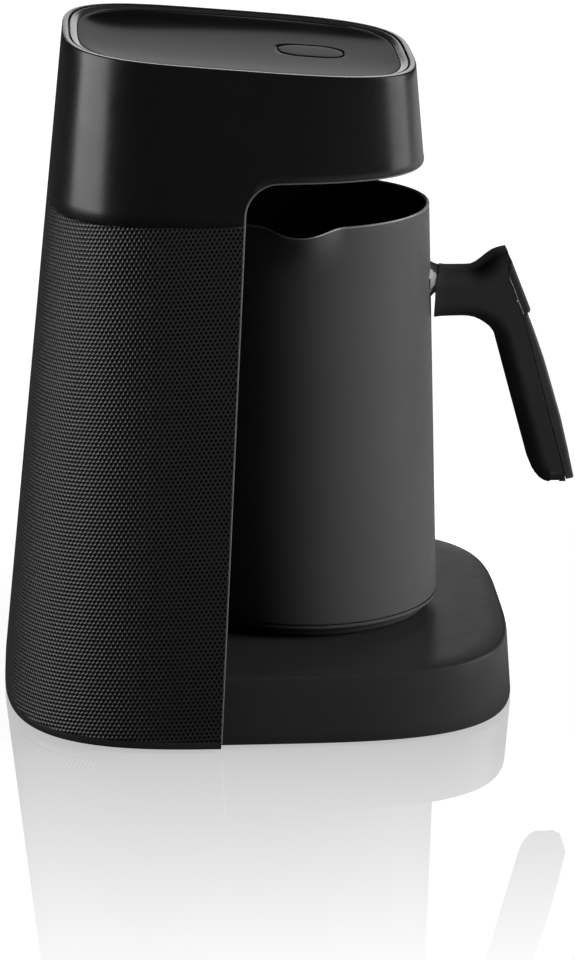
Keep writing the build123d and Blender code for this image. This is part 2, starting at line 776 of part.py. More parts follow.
# Lamp that shines through the button's top
with BuildPart() as indicator_led:
    with BuildSketch(BUTTON_PLANE.offset(-BOARD_DEPTH)):
        with Locations((7, 0)):
            Circle(1.5)
    extrude(amount=4)
    fillet(indicator_led.edges().sort_by(Axis.Z)[-1], 1.2)
save(indicator_led, "indicator_led")

with BuildPart() as buzzer:
    with BuildSketch(BUTTON_PLANE.offset(-BOARD_DEPTH)):
        with Locations((-20, 10)):
            Circle(5)
    extrude(amount=5)
    with BuildSketch(BUTTON_PLANE.offset(-BOARD_DEPTH + 3)):
        with Locations((-20, 10)):
            Circle(1)
    extrude(amount=4, mode=Mode.SUBTRACT)
save(buzzer, "buzzer")

# Guide for the button's stem, on legs that stand on the control board
GUIDE_TOP = 9.6
with BuildPart() as button_guide:
    with BuildSketch(BUTTON_PLANE.offset(-GUIDE_TOP)):
        RectangleRounded(22, 21, 4)
        Circle(2.5, mode=Mode.SUBTRACT)
    extrude(amount=-1.6)
    with BuildSketch(BUTTON_PLANE.offset(-BOARD_DEPTH)):
        with GridLocations(16, 15, 2, 2):
            Circle(1.8)
    extrude(amount=BOARD_DEPTH - GUIDE_TOP - 1.6)
save(button_guide, "button_guide")

# Flat ribbon from the control board back and down to the power board
RIBBON_WIDTH = 12.0
RIBBON_THICKNESS = 1.0
RIBBON_X = BOARD_X + BOARD_THICKNESS + 1.2
with BuildPart() as ribbon_cable:
    with BuildLine() as ribbon_path:
        FilletPolyline((-12, 0, 190), (RIBBON_X, 0, 190), (RIBBON_X, 0, BOARD_HIGH - 6), radius=6)
    with BuildSketch(Plane(origin=(-12, 0, 190), x_dir=(0, 1, 0), z_dir=(-1, 0, 0))):
        Rectangle(RIBBON_WIDTH, RIBBON_THICKNESS)
    sweep(path=ribbon_path.line)
save(ribbon_cable, "ribbon_cable")


# ---------------------------------------------------------------------------
# Start button

STEM_BOTTOM = BOARD_DEPTH - 3.8 - BUTTON_TRAVEL - 0.3
with BuildPart() as start_button:
    with BuildSketch(BUTTON_PLANE.offset(-DISH_DEPTH - 2.0)):
        RectangleRounded(BUTTON_LENGTH, BUTTON_WIDTH, BUTTON_CORNER)
    extrude(amount=2.1)
    fillet(start_button.faces().sort_by(Axis.Z)[-1].edges(), 0.4)
    with BuildSketch(BUTTON_PLANE.offset(-DISH_DEPTH - 2.0)):
        Circle(2.4)
    extrude(amount=DISH_DEPTH + 2.0 - STEM_BOTTOM)
save(start_button, "start_button")

# Coil spring that lifts the button, round its stem
SPRING_LOW = GUIDE_TOP
SPRING_HIGH = DISH_DEPTH + 2.0
SPRING_RADIUS = 3.6
WIRE_RADIUS = 0.3
SPRING_TURNS = 4
with BuildPart() as button_spring:
    spring_height = SPRING_LOW - SPRING_HIGH - 2 * WIRE_RADIUS - 0.6
    with BuildLine(BUTTON_PLANE.offset(-SPRING_LOW + WIRE_RADIUS + 0.15)) as coil:
        Helix(pitch=spring_height / SPRING_TURNS, height=spring_height, radius=SPRING_RADIUS)
    with BuildSketch(Plane(origin=coil.line @ 0, z_dir=coil.line % 0)):
        Circle(WIRE_RADIUS)
    sweep(path=coil.line, is_frenet=True)
save(button_spring, "button_spring")


# ---------------------------------------------------------------------------
# Pot

POT_INNER_FLOOR = POT_FLOOR + POT_WALL
SKIRT_INNER = POT_BOTTOM_RADIUS - POT_WALL


def spout_sections(shrink):
    """Level circles that widen upwards to the spout's lip."""
    sections = []
    for share in (0.0, 0.5, 1.0, 1.1):
        height = POT_RIM - SPOUT_DEPTH * (1 - share)
        radius = 2.0 + (SPOUT_RADIUS - 2.0) * share - shrink
        wall = pot_radius(height) - 2.6
        reach = wall + (SPOUT_REACH - SPOUT_RADIUS - wall) * share**2
        angle = SPOUT_ANGLE * pi / 180
        with BuildSketch(Plane.XY.offset(height)) as lip:
            with Locations((POT_X + reach * cos(angle), reach * sin(angle))):
                Circle(radius)
        sections.append(lip.sketch)
    return sections


# Vessel with its skirt and spout, drawn from one sheet
with BuildPart() as pot_vessel:
    over = 4.0
    revolve(
        pot_profile(
            (0, POT_BOTTOM), (POT_BOTTOM_RADIUS, POT_BOTTOM),
            (pot_radius(POT_RIM + over), POT_RIM + over), (0, POT_RIM + over),
        ),
        axis=POT_AXIS,
    )
    loft(sections=spout_sections(0))
    revolve(
        pot_profile(
            (0, POT_BOTTOM), (SKIRT_INNER, POT_BOTTOM),
            (pot_radius(POT_FLOOR) - POT_WALL, POT_FLOOR), (0, POT_FLOOR),
        ),
        axis=POT_AXIS,
        mode=Mode.SUBTRACT,
    )
    revolve(
        pot_profile(
            (0, POT_INNER_FLOOR), (pot_radius(POT_FLOOR) - POT_WALL - 5, POT_INNER_FLOOR),
            (pot_radius(POT_FLOOR) - POT_WALL - 1.5, POT_INNER_FLOOR + 1.5),
            (pot_radius(POT_FLOOR + 6) - POT_WALL, POT_INNER_FLOOR + 5),
            (pot_radius(POT_RIM + over) - POT_WALL, POT_RIM + over), (0, POT_RIM + over),
        ),
        axis=POT_AXIS,
        mode=Mode.SUBTRACT,
    )
    loft(sections=spout_sections(POT_WALL), mode=Mode.SUBTRACT)
    split(bisect_by=Plane.XY.offset(POT_RIM), keep=Keep.BOTTOM)
save(pot_vessel, "pot_vessel")

# Aluminium disc that spreads the heat under the floor
with BuildPart() as heat_spreader:
    revolve(ring_profile(0, 36, POT_FLOOR - 2.3, POT_FLOOR - 0.05), axis=POT_AXIS)
save(heat_spreader, "heat_spreader")

# Sheathed element: an open ring brazed under the spreader
ELEMENT_RADIUS = 27.0
ELEMENT_TUBE = 3.0
ELEMENT_Z = POT_FLOOR - 2.35 - ELEMENT_TUBE
with BuildPart() as heating_element:
    with BuildSketch(POT_PLANE):
        with Locations((ELEMENT_RADIUS, ELEMENT_Z)):
            Circle(ELEMENT_TUBE)
    revolve(axis=POT_AXIS, revolution_arc=310)
save(heating_element, "heating_element")

# Thermostat held against the middle of the spreader
with BuildPart() as thermostat:
    revolve(ring_profile(0, 8, POT_FLOOR - 6.4, POT_FLOOR - 2.4), axis=POT_AXIS)
    with Locations((POT_X, 0, POT_FLOOR - 6.4)):
        with GridLocations(9, 0, 2, 1):
            Box(0.8, 4, 2.4, align=(Align.CENTER, Align.CENTER, Align.MAX))
save(thermostat, "thermostat")

# Plastic cup that closes the pot's underside, with a foot ring and coupler hole
CUP_RADIUS = 40.2
FOOT_RING_INNER = 35.0
COUPLER_HOLE = 20.0
CUP_TOP = 28.6
with BuildPart() as pot_base_cup:
    revolve(
        pot_profile(
            (COUPLER_HOLE, CUP_TOP - 2), (FOOT_RING_INNER, CUP_TOP - 2), (FOOT_RING_INNER + 0.4, POT_CUP_BOTTOM),
            (CUP_RADIUS - 0.8, POT_CUP_BOTTOM), (CUP_RADIUS, POT_CUP_BOTTOM + 0.8), (CUP_RADIUS, CUP_TOP),
            (COUPLER_HOLE, CUP_TOP),
        ),
        axis=POT_AXIS,
    )
    with Locations((POT_X, 0, CUP_TOP)):
        with PolarLocations(29, 3, start_angle=60):
            Cylinder(SCREW_RADIUS + 0.1, 8, mode=Mode.SUBTRACT)
save(pot_base_cup, "pot_base_cup")

# Silicone ring between the cup and the vessel's skirt
with BuildPart() as pot_base_seal:
    revolve(ring_profile(CUP_RADIUS, SKIRT_INNER - 0.2, CUP_TOP - 2.2, CUP_TOP), axis=POT_AXIS)
save(pot_base_seal, "pot_base_seal")

with BuildPart() as pot_base_screws:
    for angle in (60, 180, 300):
        x = POT_X + 29 * cos(angle * pi / 180)
        y = 29 * sin(angle * pi / 180)
        with Locations(Location((x, y, CUP_TOP - 2), (180, 0, 0))):
            add(screw(4.6))
save(pot_base_screws, "pot_base_screws")

# Coupler plug in the middle of the cup, with its spring contacts
with BuildPart() as pot_coupler:
    revolve(
        pot_profile(
            (0, POT_COUPLER_BOTTOM), (COUPLER_HOLE - 0.2, POT_COUPLER_BOTTOM), (COUPLER_HOLE - 0.2, CUP_TOP + 0.1),
            (COUPLER_HOLE + 2.5, CUP_TOP + 0.1), (COUPLER_HOLE + 2.5, CUP_TOP + 1.3), (0, CUP_TOP + 1.3),
        ),
        axis=POT_AXIS,
    )
    with Locations((POT_X, 0, POT_COUPLER_BOTTOM)):
        for radius in (*CONTACT_RADII, 0):
            with Locations((radius, 0, 0)):
                Cylinder(1.0, 3, mode=Mode.SUBTRACT)
save(pot_coupler, "pot_coupler")

with BuildPart() as pot_contacts:
    for radius in (*CONTACT_RADII, 0):
        with Locations((POT_X + radius, 0, POT_COUPLER_BOTTOM - 0.1)):
            Cylinder(1.0, 1.6, align=BASE_ALIGN)
save(pot_contacts, "pot_contacts")

# Thermal fuse clipped under the spreader in the element's lead
with BuildPart() as thermal_fuse:
    with BuildSketch(Plane.XZ.offset(6)):
        with Locations((POT_X - 14, POT_FLOOR - 4.2)):
            Circle(1.7)
    extrude(amount=-12)
save(thermal_fuse, "thermal_fuse")

# Two heater leads from the plug up to the element's ends
with BuildPart() as heater_leads:
    for turn in (0, -50):
        end_x = POT_X + ELEMENT_RADIUS * cos(turn * pi / 180)
        end_y = -ELEMENT_RADIUS * sin(turn * pi / 180)
        with Locations((end_x, end_y, CUP_TOP + 0.1)):
            Cylinder(0.9, ELEMENT_Z - ELEMENT_TUBE - CUP_TOP - 0.2, align=BASE_ALIGN)
save(heater_leads, "heater_leads")


# ---------------------------------------------------------------------------
# Pot handle, drawn in the plane of symmetry

BRACKET_GAP = 0.1
BRACKET_TOP = 138.2
TONGUE_END = 72.0
TONGUE_LOW = 131.4
TONGUE_HIGH = 133.6
TONGUE_HALF_WIDTH = 6.0
HANDLE_SCREW_X = 66.0
HANDLE_FACE_X = POT_X + pot_radius(TONGUE_HIGH) + HANDLE_WALL_GAP
SEAM_TOP = (82.0, 136.2)
SEAM_STEP = (87.4, 121.6)
SEAM_END = (102.9, HANDLE_BOTTOM)
PEAK = (82.75, 141.85)
RAMP_END = (90.0, 143.0)
NOTCH = ((97.4, 60), (97.4, HANDLE_BOTTOM + 1), (100.4, HANDLE_BOTTOM + 1), (100.8, 60))

# Steel block welded to the wall, with a tongue into the handle
with BuildPart() as handle_bracket:
    extrude(
        side_face(
            (50, TONGUE_LOW), (TONGUE_END, TONGUE_LOW), (TONGUE_END, TONGUE_HIGH),
            (HANDLE_FACE_X - 0.1, TONGUE_HIGH), (HANDLE_FACE_X - 0.1, TONGUE_HIGH + 1.8),
            (HANDLE_FACE_X - 1.1, TONGUE_HIGH + 3.0), (HANDLE_FACE_X - 1.6, BRACKET_TOP), (50, BRACKET_TOP),
        ),
        amount=TONGUE_HALF_WIDTH,
        both=True,
    )
    revolve(
        pot_profile(
            (0, 100), (pot_radius(100) + BRACKET_GAP, 100),
            (pot_radius(POT_RIM) + BRACKET_GAP, POT_RIM), (0, POT_RIM),
        ),
        axis=POT_AXIS,
        mode=Mode.SUBTRACT,
    )
    with Locations((HANDLE_SCREW_X, 0, TONGUE_LOW)):
        Cylinder(SCREW_RADIUS + 0.05, 10, mode=Mode.SUBTRACT)
save(handle_bracket, "handle_bracket")

# Grip: a level stub that turns down into a long slanting bar, well rounded
with BuildPart() as handle_body:
    with BuildSketch(Plane.XZ):
        with BuildLine():
            Polyline((50, HANDLE_UNDERSIDE), (50, HANDLE_TOP), (70.8, HANDLE_TOP))
            Spline((70.8, HANDLE_TOP), (77.2, 139.8), PEAK, tangents=((1, 0.0), (1, 0.15)))
            Polyline(PEAK, RAMP_END, (120, RAMP_END[1]), (120, HANDLE_BOTTOM), (97.2, HANDLE_BOTTOM))
            ThreePointArc((97.2, HANDLE_BOTTOM), (93.3, 66.0), (90.8, 70.6))
            Line((90.8, 70.6), (79.5, 112.0))
            ThreePointArc((79.5, 112.0), (75.2, 118.4), (67.9, HANDLE_UNDERSIDE))
            Line((67.9, HANDLE_UNDERSIDE), (50, HANDLE_UNDERSIDE))
        make_face()
    extrude(amount=HANDLE_HALF_WIDTH, both=True)
    fillet(
        [
            edge for edge in handle_body.edges()
            if abs(edge.center().Y) > HANDLE_HALF_WIDTH - 0.1 and 51 < edge.center().X < 110
        ],
        HANDLE_ROUNDING,
    )
    extrude(
        side_face((PEAK[0], 150), PEAK, SEAM_TOP, SEAM_STEP, SEAM_END, (SEAM_END[0], 60), (125, 60), (125, 150)),
        amount=20,
        both=True,
        mode=Mode.SUBTRACT,
    )
    extrude(side_face(*NOTCH), amount=20, both=True, mode=Mode.SUBTRACT)
    extrude(
        side_face(
            (40, 100), (POT_X + pot_radius(100) + HANDLE_WALL_GAP, 100),
            (POT_X + pot_radius(POT_RIM) + HANDLE_WALL_GAP, POT_RIM), (40, POT_RIM),
        ),
        amount=20,
        both=True,
        mode=Mode.SUBTRACT,
    )
    extrude(
        side_face(
            (50, TONGUE_LOW - 0.1), (TONGUE_END + 0.5, TONGUE_LOW - 0.1),
            (TONGUE_END + 0.5, TONGUE_HIGH + 0.1), (50, TONGUE_HIGH + 0.1),
        ),
        amount=TONGUE_HALF_WIDTH + 0.1,
        both=True,
        mode=Mode.SUBTRACT,
    )
    with Locations((HANDLE_SCREW_X, 0, HANDLE_UNDERSIDE - 1)):
        Cylinder(SCREW_RADIUS + 0.05, 15, align=BASE_ALIGN, mode=Mode.SUBTRACT)
        Cylinder(SCREW_HEAD_RADIUS + 0.2, SCREW_HEAD_HEIGHT + 1, align=BASE_ALIGN, mode=Mode.SUBTRACT)
save(handle_body, "handle_body")

# Front view of the grip, whose round ends the strips share
with BuildPart() as grip_front:
    with BuildSketch(Plane.YZ):
        with Locations((0, (PEAK[1] + HANDLE_BOTTOM) / 2)):
            RectangleRounded(2 * HANDLE_HALF_WIDTH, PEAK[1] - HANDLE_BOTTOM, HANDLE_ROUNDING)
    extrude(amount=130)

# Soft thumb rest let into the top of the grip
with BuildPart() as thumb_rest:
    extrude(
        side_face(
            (PEAK[0] + 0.1, PEAK[1]), (89.9, 123.6), (89.6, 122.4),
            (SEAM_STEP[0] + 0.1, SEAM_STEP[1] + 0.3), (SEAM_TOP[0] + 0.1, SEAM_TOP[1]),
        ),
        amount=HANDLE_HALF_WIDTH,
        both=True,
    )
    add(grip_front.part, mode=Mode.INTERSECT)
save(thumb_rest, "thumb_rest")

# Cover strip down the outside of the grip
with BuildPart() as handle_cover:
    extrude(
        side_face(
            (89.2, 121.9), (94.5, 107.3), (100.6, 86.5), (105.9, HANDLE_BOTTOM + 0.4),
            (SEAM_END[0] + 0.15, HANDLE_BOTTOM), (SEAM_STEP[0] + 0.15, SEAM_STEP[1]),
        ),
        amount=HANDLE_HALF_WIDTH,
        both=True,
    )
    add(grip_front.part, mode=Mode.INTERSECT)
save(handle_cover, "handle_cover")

# Screw up through the stub that clamps the tongue
with BuildPart() as handle_screw:
    with Locations(Location((HANDLE_SCREW_X, 0, HANDLE_UNDERSIDE + SCREW_HEAD_HEIGHT), (180, 0, 0))):
        add(screw(11))
save(handle_screw, "handle_screw")
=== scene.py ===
"""Looks of a compact electric coffee maker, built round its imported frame.

Sizes held by the classes are millimetres in the frame's own axes: +X is the
front, where the pot slides out, and +Z is up. A mesh is scaled to metres when
its piece is finished.
"""

import json
import logging
import math
from collections.abc import Callable, Iterable, Sequence
from dataclasses import dataclass, field
from enum import Enum
from typing import Any

import bmesh
import bpy
from mathutils import Matrix, Quaternion, Vector

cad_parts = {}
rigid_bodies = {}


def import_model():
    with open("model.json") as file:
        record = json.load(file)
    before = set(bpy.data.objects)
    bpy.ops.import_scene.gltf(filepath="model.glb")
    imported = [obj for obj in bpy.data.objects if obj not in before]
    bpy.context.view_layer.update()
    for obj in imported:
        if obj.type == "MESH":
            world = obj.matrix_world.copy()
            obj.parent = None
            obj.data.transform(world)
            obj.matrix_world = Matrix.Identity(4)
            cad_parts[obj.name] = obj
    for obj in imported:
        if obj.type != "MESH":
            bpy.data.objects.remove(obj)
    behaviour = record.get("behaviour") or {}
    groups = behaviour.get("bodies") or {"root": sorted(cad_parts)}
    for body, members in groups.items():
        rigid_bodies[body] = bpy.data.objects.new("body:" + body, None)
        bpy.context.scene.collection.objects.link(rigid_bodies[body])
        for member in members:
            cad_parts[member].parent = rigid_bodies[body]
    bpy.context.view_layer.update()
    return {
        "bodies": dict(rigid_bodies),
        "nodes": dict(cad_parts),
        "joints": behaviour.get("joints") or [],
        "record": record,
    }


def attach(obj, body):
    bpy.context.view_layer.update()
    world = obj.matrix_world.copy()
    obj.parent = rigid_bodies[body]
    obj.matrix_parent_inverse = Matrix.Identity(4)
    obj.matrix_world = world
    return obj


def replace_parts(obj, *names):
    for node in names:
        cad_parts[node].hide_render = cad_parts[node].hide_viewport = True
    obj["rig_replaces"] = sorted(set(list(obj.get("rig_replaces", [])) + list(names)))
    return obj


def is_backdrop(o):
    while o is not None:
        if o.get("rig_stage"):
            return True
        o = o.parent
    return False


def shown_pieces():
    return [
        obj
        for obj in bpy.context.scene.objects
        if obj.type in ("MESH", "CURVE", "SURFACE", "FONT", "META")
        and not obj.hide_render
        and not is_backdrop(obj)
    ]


LOG = logging.getLogger("coffee_maker")
MM = 0.001
TINY = 1e-9
MERGE_DISTANCE = 1e-4
WEAVE_MAP = "weave"
Pair = tuple[float, float]
Triple = tuple[float, float, float]


class Body(Enum):
    """Rigid bodies of the frame that pieces ride on."""

    MACHINE = "machine"
    POT = "pot"
    BUTTON = "button"


class Grain(Enum):
    """How a finish's small relief is laid."""

    PEBBLED = "pebbled"
    BRUSHED = "brushed"


# ---------------------------------------------------------------------------
# Shapes in plan


def lerp(low: float, high: float, share: float) -> float:
    """Value at a share of the way from low to high."""
    return low + (high - low) * share


def spaced(low: float, high: float, steps: int) -> list[float]:
    """Values from low to high in equal steps, both ends counted."""
    return [lerp(low, high, step / steps) for step in range(steps + 1)]


def turns(steps: int) -> list[float]:
    """Angles in radians at equal steps of a full turn."""
    return [2 * math.pi * step / steps for step in range(steps)]


def rounded_point(angle: float, half_x: float, half_y: float, corner: float) -> Pair:
    """Point of a rounded rectangle's outline in a given direction.

    Args:
        angle: Direction from the rectangle's centre, in radians.
        half_x: Half of its length.
        half_y: Half of its width.
        corner: Radius of its corners.

    Returns:
        The point, from the rectangle's centre.
    """
    cos, sin = abs(math.cos(angle)), abs(math.sin(angle))
    reach = min(half_x / max(cos, TINY), half_y / max(sin, TINY))
    centre_x, centre_y = half_x - corner, half_y - corner
    if reach * cos > centre_x and reach * sin > centre_y:
        along = cos * centre_x + sin * centre_y
        offset = centre_x**2 + centre_y**2 - corner**2
        reach = along + math.sqrt(max(along**2 - offset, 0.0))
    return reach * math.cos(angle), reach * math.sin(angle)


def evenly(points: Sequence[Vector], steps: int) -> list[Vector]:
    """Points at equal steps along a line of points.

    Args:
        points: The line.
        steps: Number of equal steps.

    Returns:
        One point more than there are steps.
    """
    lengths = [0.0]
    for start, end in zip(points, points[1:]):
        lengths.append(lengths[-1] + (end - start).length)
    found, index = [], 0
    for step in range(steps + 1):
        target = lengths[-1] * step / steps
        while index < len(points) - 2 and lengths[index + 1] < target:
            index += 1
        span = lengths[index + 1] - lengths[index]
        share = (target - lengths[index]) / span if span else 0.0
        found.append(points[index].lerp(points[index + 1], min(max(share, 0.0), 1.0)))
    return found


@dataclass(frozen=True)
class Outline:
    """Level outline of a moulded shell whose extents move evenly with height."""

    back: float
    front: float
    half_width: float
    front_lean: float
    widest: float
    widest_lean: float = 0.0
    back_lean: float = 0.1044
    side_lean: float = -0.1428
    rear_power: float = 3.3
    front_power: float = 3.7
    search_steps: int = 40

    def middle(self, height: float) -> float:
        """Where the outline is widest at a height."""
        return self.widest + self.widest_lean * height

    def half(self, in_front: bool, height: float, inset: float) -> Triple:
        """Shape of the outline's front or rear half.

        Args:
            in_front: Whether it is the front half.
            height: Height of the slice.
            inset: How far the outline is moved in.

        Returns:
            The power of its curve, its length and its width.
        """
        width = self.half_width + self.side_lean * height - inset
        if in_front:
            length = self.front + self.front_lean * height - inset - self.middle(height)
            return self.front_power, length, width
        length = self.middle(height) - self.back - self.back_lean * height - inset
        return self.rear_power, length, width

    def point(self, angle: float, height: float, inset: float = 0.0) -> Vector:
        """Point of the outline.

        Args:
            angle: Polar angle about the widest line, in radians.
            height: Height of the slice.
            inset: How far the outline is moved in.

        Returns:
            The point at that height.
        """
        cos, sin = math.cos(angle), math.sin(angle)
        power, length, width = self.half(cos > 0, height, inset)
        radius = (abs(cos) ** power + abs(sin) ** power) ** (-1 / power)
        return Vector((self.middle(height) + length * radius * cos, width * radius * sin, height))

    def shares(self, point: Vector, inset: float) -> Pair:
        """How far out a point lies: across only, and over all, from 0 to 1 at the outline.

        Args:
            point: The point.
            inset: How far the outline is moved in.

        Returns:
            The share across, and the share of the way to the outline.
        """
        middle = self.middle(point.z)
        power, length, width = self.half(point.x > middle, point.z, inset)
        across, along = abs(point.y) / width, abs(point.x - middle) / length
        return across, (across**power + along**power) ** (1 / power)

    def angle_at(self, x: float, height: float) -> float:
        """Polar angle, from 0 to pi, at which the outline crosses a given x.

        Args:
            x: The place along the machine.
            height: Height of the slice.

        Returns:
            The angle, in radians.
        """
        low, high = 0.0, math.pi
        for _ in range(self.search_steps):
            middle = (low + high) / 2
            if self.point(middle, height).x > x:
                low = middle
            else:
                high = middle
        return (low + high) / 2


@dataclass(frozen=True)
class SlopingTop:
    """The plane that the casing is cut by at its top."""

    height: float = 211.35
    slope: float = 0.0845
    search_steps: int = 5

    def level(self, x: float, depth: float = 0.0) -> float:
        """Height of the plane at x, lowered square to itself by depth."""
        return self.height - self.slope * x - depth / math.cos(math.atan(self.slope))

    def ring_point(self, outline: Outline, angle: float, depth: float, inset: float) -> Vector:
        """Point of an outline where it meets the lowered plane.

        Args:
            outline: Outline that the plane cuts.
            angle: Polar angle of the point, in radians.
            depth: Depth under the plane.
            inset: How far the outline is moved in.

        Returns:
            The point.
        """
        found = Vector((0.0, 0.0, 0.0))
        for _ in range(self.search_steps):
            found = outline.point(angle, self.level(found.x, depth), inset)
        return found

    def point(self, along: float, across: float, depth: float) -> Vector:
        """Point measured from where the axis meets the plane.

        Args:
            along: Distance down the slope, to the front.
            across: Distance across it.
            depth: Depth under the plane, square to it.

        Returns:
            The point.
        """
        tilt = math.atan(self.slope)
        x = along * math.cos(tilt) - depth * math.sin(tilt)
        z = self.height - along * math.sin(tilt) - depth * math.cos(tilt)
        return Vector((x, across, z))


@dataclass(frozen=True)
class Opening:
    """Side view of the opening that the pot stands in."""

    edge_x: float = -14.7
    edge_lean: float = 0.0555
    corner_x: float = 5.073
    corner_z: float = 166.8
    corner_radius: float = 10.5
    corner_start: float = 176.8
    head_bottom: float = 177.3
    column_top: float = 164.2
    head_seat: float = 164.5

    def edge(self, height: float) -> float:
        """Front edge of the column's sides at a height."""
        return self.edge_x + self.edge_lean * height

    def rim(self, heights: Iterable[float]) -> list[Pair]:
        """Straight part of the edge, as (x, z), at some heights."""
        return [(self.edge(height), height) for height in heights]

    def corner(self, steps: int) -> list[Pair]:
        """Round corner between the edge and the head's lower edge.

        Args:
            steps: Number of equal turns.

        Returns:
            Its points as (x, z), from the edge up.
        """
        points = []
        for degrees in spaced(self.corner_start, 90.0, steps):
            turn = math.radians(degrees)
            x = self.corner_x + self.corner_radius * math.cos(turn)
            points.append((x, self.corner_z + self.corner_radius * math.sin(turn)))
        return points


CASING = Outline(
    back=-83.5, front=68.8, half_width=85.2, front_lean=-0.0848, widest=-6.1, widest_lean=-0.0415
)
PLATFORM = Outline(back=-79.6, front=83.5, half_width=81.4, front_lean=-0.0703, widest=-6.1)
TOP = SlopingTop()
OPENING = Opening()


# ---------------------------------------------------------------------------
# Meshes in the making


def placed(name: str, data: Any) -> bpy.types.Object:
    """Put an object of the data into the scene, at the origin.

    Args:
        name: Name of the object.
        data: Its mesh, lamp or camera.

    Returns:
        The object.
    """
    piece = bpy.data.objects.new(name, data)
    bpy.context.scene.collection.objects.link(piece)
    return piece


def settled(name: str, mesh: bmesh.types.BMesh) -> bpy.types.Object:
    """Turn a mesh in the making into an object of the scene.

    Args:
        name: Name of the object.
        mesh: The mesh, which is used up.

    Returns:
        The object.
    """
    data = bpy.data.meshes.new(name)
    mesh.to_mesh(data)
    mesh.free()
    return placed(name, data)


class Skin:
    """A mesh in the making, in millimetres."""

    def __init__(self) -> None:
        """Start with an empty mesh."""
        self.mesh = bmesh.new()

    @classmethod
    def over(
        cls,
        columns: int,
        rows: int,
        place: Callable[[int, int], Vector],
        chart: Callable[[int, int], Pair] | None = None,
    ) -> "Skin":
        """Lay a grid of quads over a surface and join what meets.

        Args:
            columns: Number of quads across.
            rows: Number of quads along.
            place: Gives the point of a column and a row.
            chart: Gives the pattern's place on a column and a row.

        Returns:
            The skin.
        """
        skin = cls()
        mesh = skin.mesh
        bmesh.ops.create_grid(mesh, x_segments=columns, y_segments=rows, size=0.5)
        spots = {
            vert: (round((vert.co.x + 0.5) * columns), round((vert.co.y + 0.5) * rows))
            for vert in mesh.verts
        }
        if chart is not None:
            layer = mesh.loops.layers.uv.new(WEAVE_MAP)
            for face in mesh.faces:
                for loop in face.loops:
                    loop[layer].uv = chart(*spots[loop.vert])
        for vert, spot in spots.items():
            vert.co = place(*spot)
        bmesh.ops.remove_doubles(mesh, verts=mesh.verts, dist=MERGE_DISTANCE)
        bmesh.ops.dissolve_degenerate(mesh, edges=mesh.edges, dist=MERGE_DISTANCE)
        return skin

    @classmethod
    def wrapped(cls, sections: Sequence[Sequence[Vector]], closed: bool = True) -> "Skin":
        """Join sections that stand round a full turn.

        Args:
            sections: The sections, each with the same number of points.
            closed: Whether each section closes on itself.

        Returns:
            The skin.
        """
        columns, count = len(sections), len(sections[0])
        rows = count if closed else count - 1
        return cls.over(columns, rows, lambda column, row: sections[column % columns][row % count])

    @classmethod
    def stack(cls, rings: Sequence[Sequence[Vector]]) -> "Skin":
        """Join closed rings of points into a tube with closed ends.

        Args:
            rings: The rings, each with the same number of points.

        Returns:
            The skin.
        """
        count = len(rings[0])
        skin = cls.over(count, len(rings) - 1, lambda column, row: rings[row][column % count])
        skin.fill_ends()
        return skin

    def slice(self, point: Iterable[float], normal: Iterable[float]) -> None:
        """Add a row of edges where a plane passes.

        Args:
            point: A point of the plane.
            normal: Direction square to the plane.
        """
        mesh = self.mesh
        bmesh.ops.bisect_plane(
            mesh,
            geom=[*mesh.verts, *mesh.edges, *mesh.faces],
            plane_co=Vector(point),
            plane_no=Vector(normal),
            dist=MERGE_DISTANCE,
        )

    def bend(self, move: Callable[[Vector], Vector]) -> None:
        """Move every point."""
        for vert in self.mesh.verts:
            vert.co = move(vert.co)

    def fill_ends(self) -> None:
        """Close every open boundary with a face."""
        edges = [edge for edge in self.mesh.edges if edge.is_boundary]
        if edges:
            bmesh.ops.edgeloop_fill(self.mesh, edges=edges)

    def finish(self, name: str, crease: float) -> bpy.types.Object:
        """Turn the skin into an object in metres.

        Args:
            name: Name of the piece.
            crease: Angle in degrees past which an edge stays sharp.

        Returns:
            The object, at the origin.
        """
        mesh = self.mesh
        bmesh.ops.recalc_face_normals(mesh, faces=mesh.faces)
        bmesh.ops.scale(mesh, vec=(MM, MM, MM), verts=mesh.verts)
        for face in mesh.faces:
            face.smooth = True
        for edge in mesh.edges:
            edge.smooth = edge.calc_face_angle(math.pi) < math.radians(crease)
        return settled(name, mesh)


def bead(
    path: Sequence[Vector], outward: Callable[[Vector], Vector], radius: float, sides: int = 8
) -> Skin:
    """Round bead along a line of points.

    Args:
        path: Middle of the bead.
        outward: Direction away from the surface at a point.
        radius: Radius of the bead.
        sides: Number of faces round it.

    Returns:
        The skin.
    """
    rings = []
    for index, point in enumerate(path):
        ahead = path[min(index + 1, len(path) - 1)] - path[max(index - 1, 0)]
        ahead.normalize()
        out = outward(point)
        out = (out - ahead * out.dot(ahead)).normalized()
        across = ahead.cross(out)
        ring = [out * math.cos(turn) + across * math.sin(turn) for turn in turns(sides)]
        rings.append([point + radius * away for away in ring])
    return Skin.stack(rings)


# ---------------------------------------------------------------------------
# Finishes


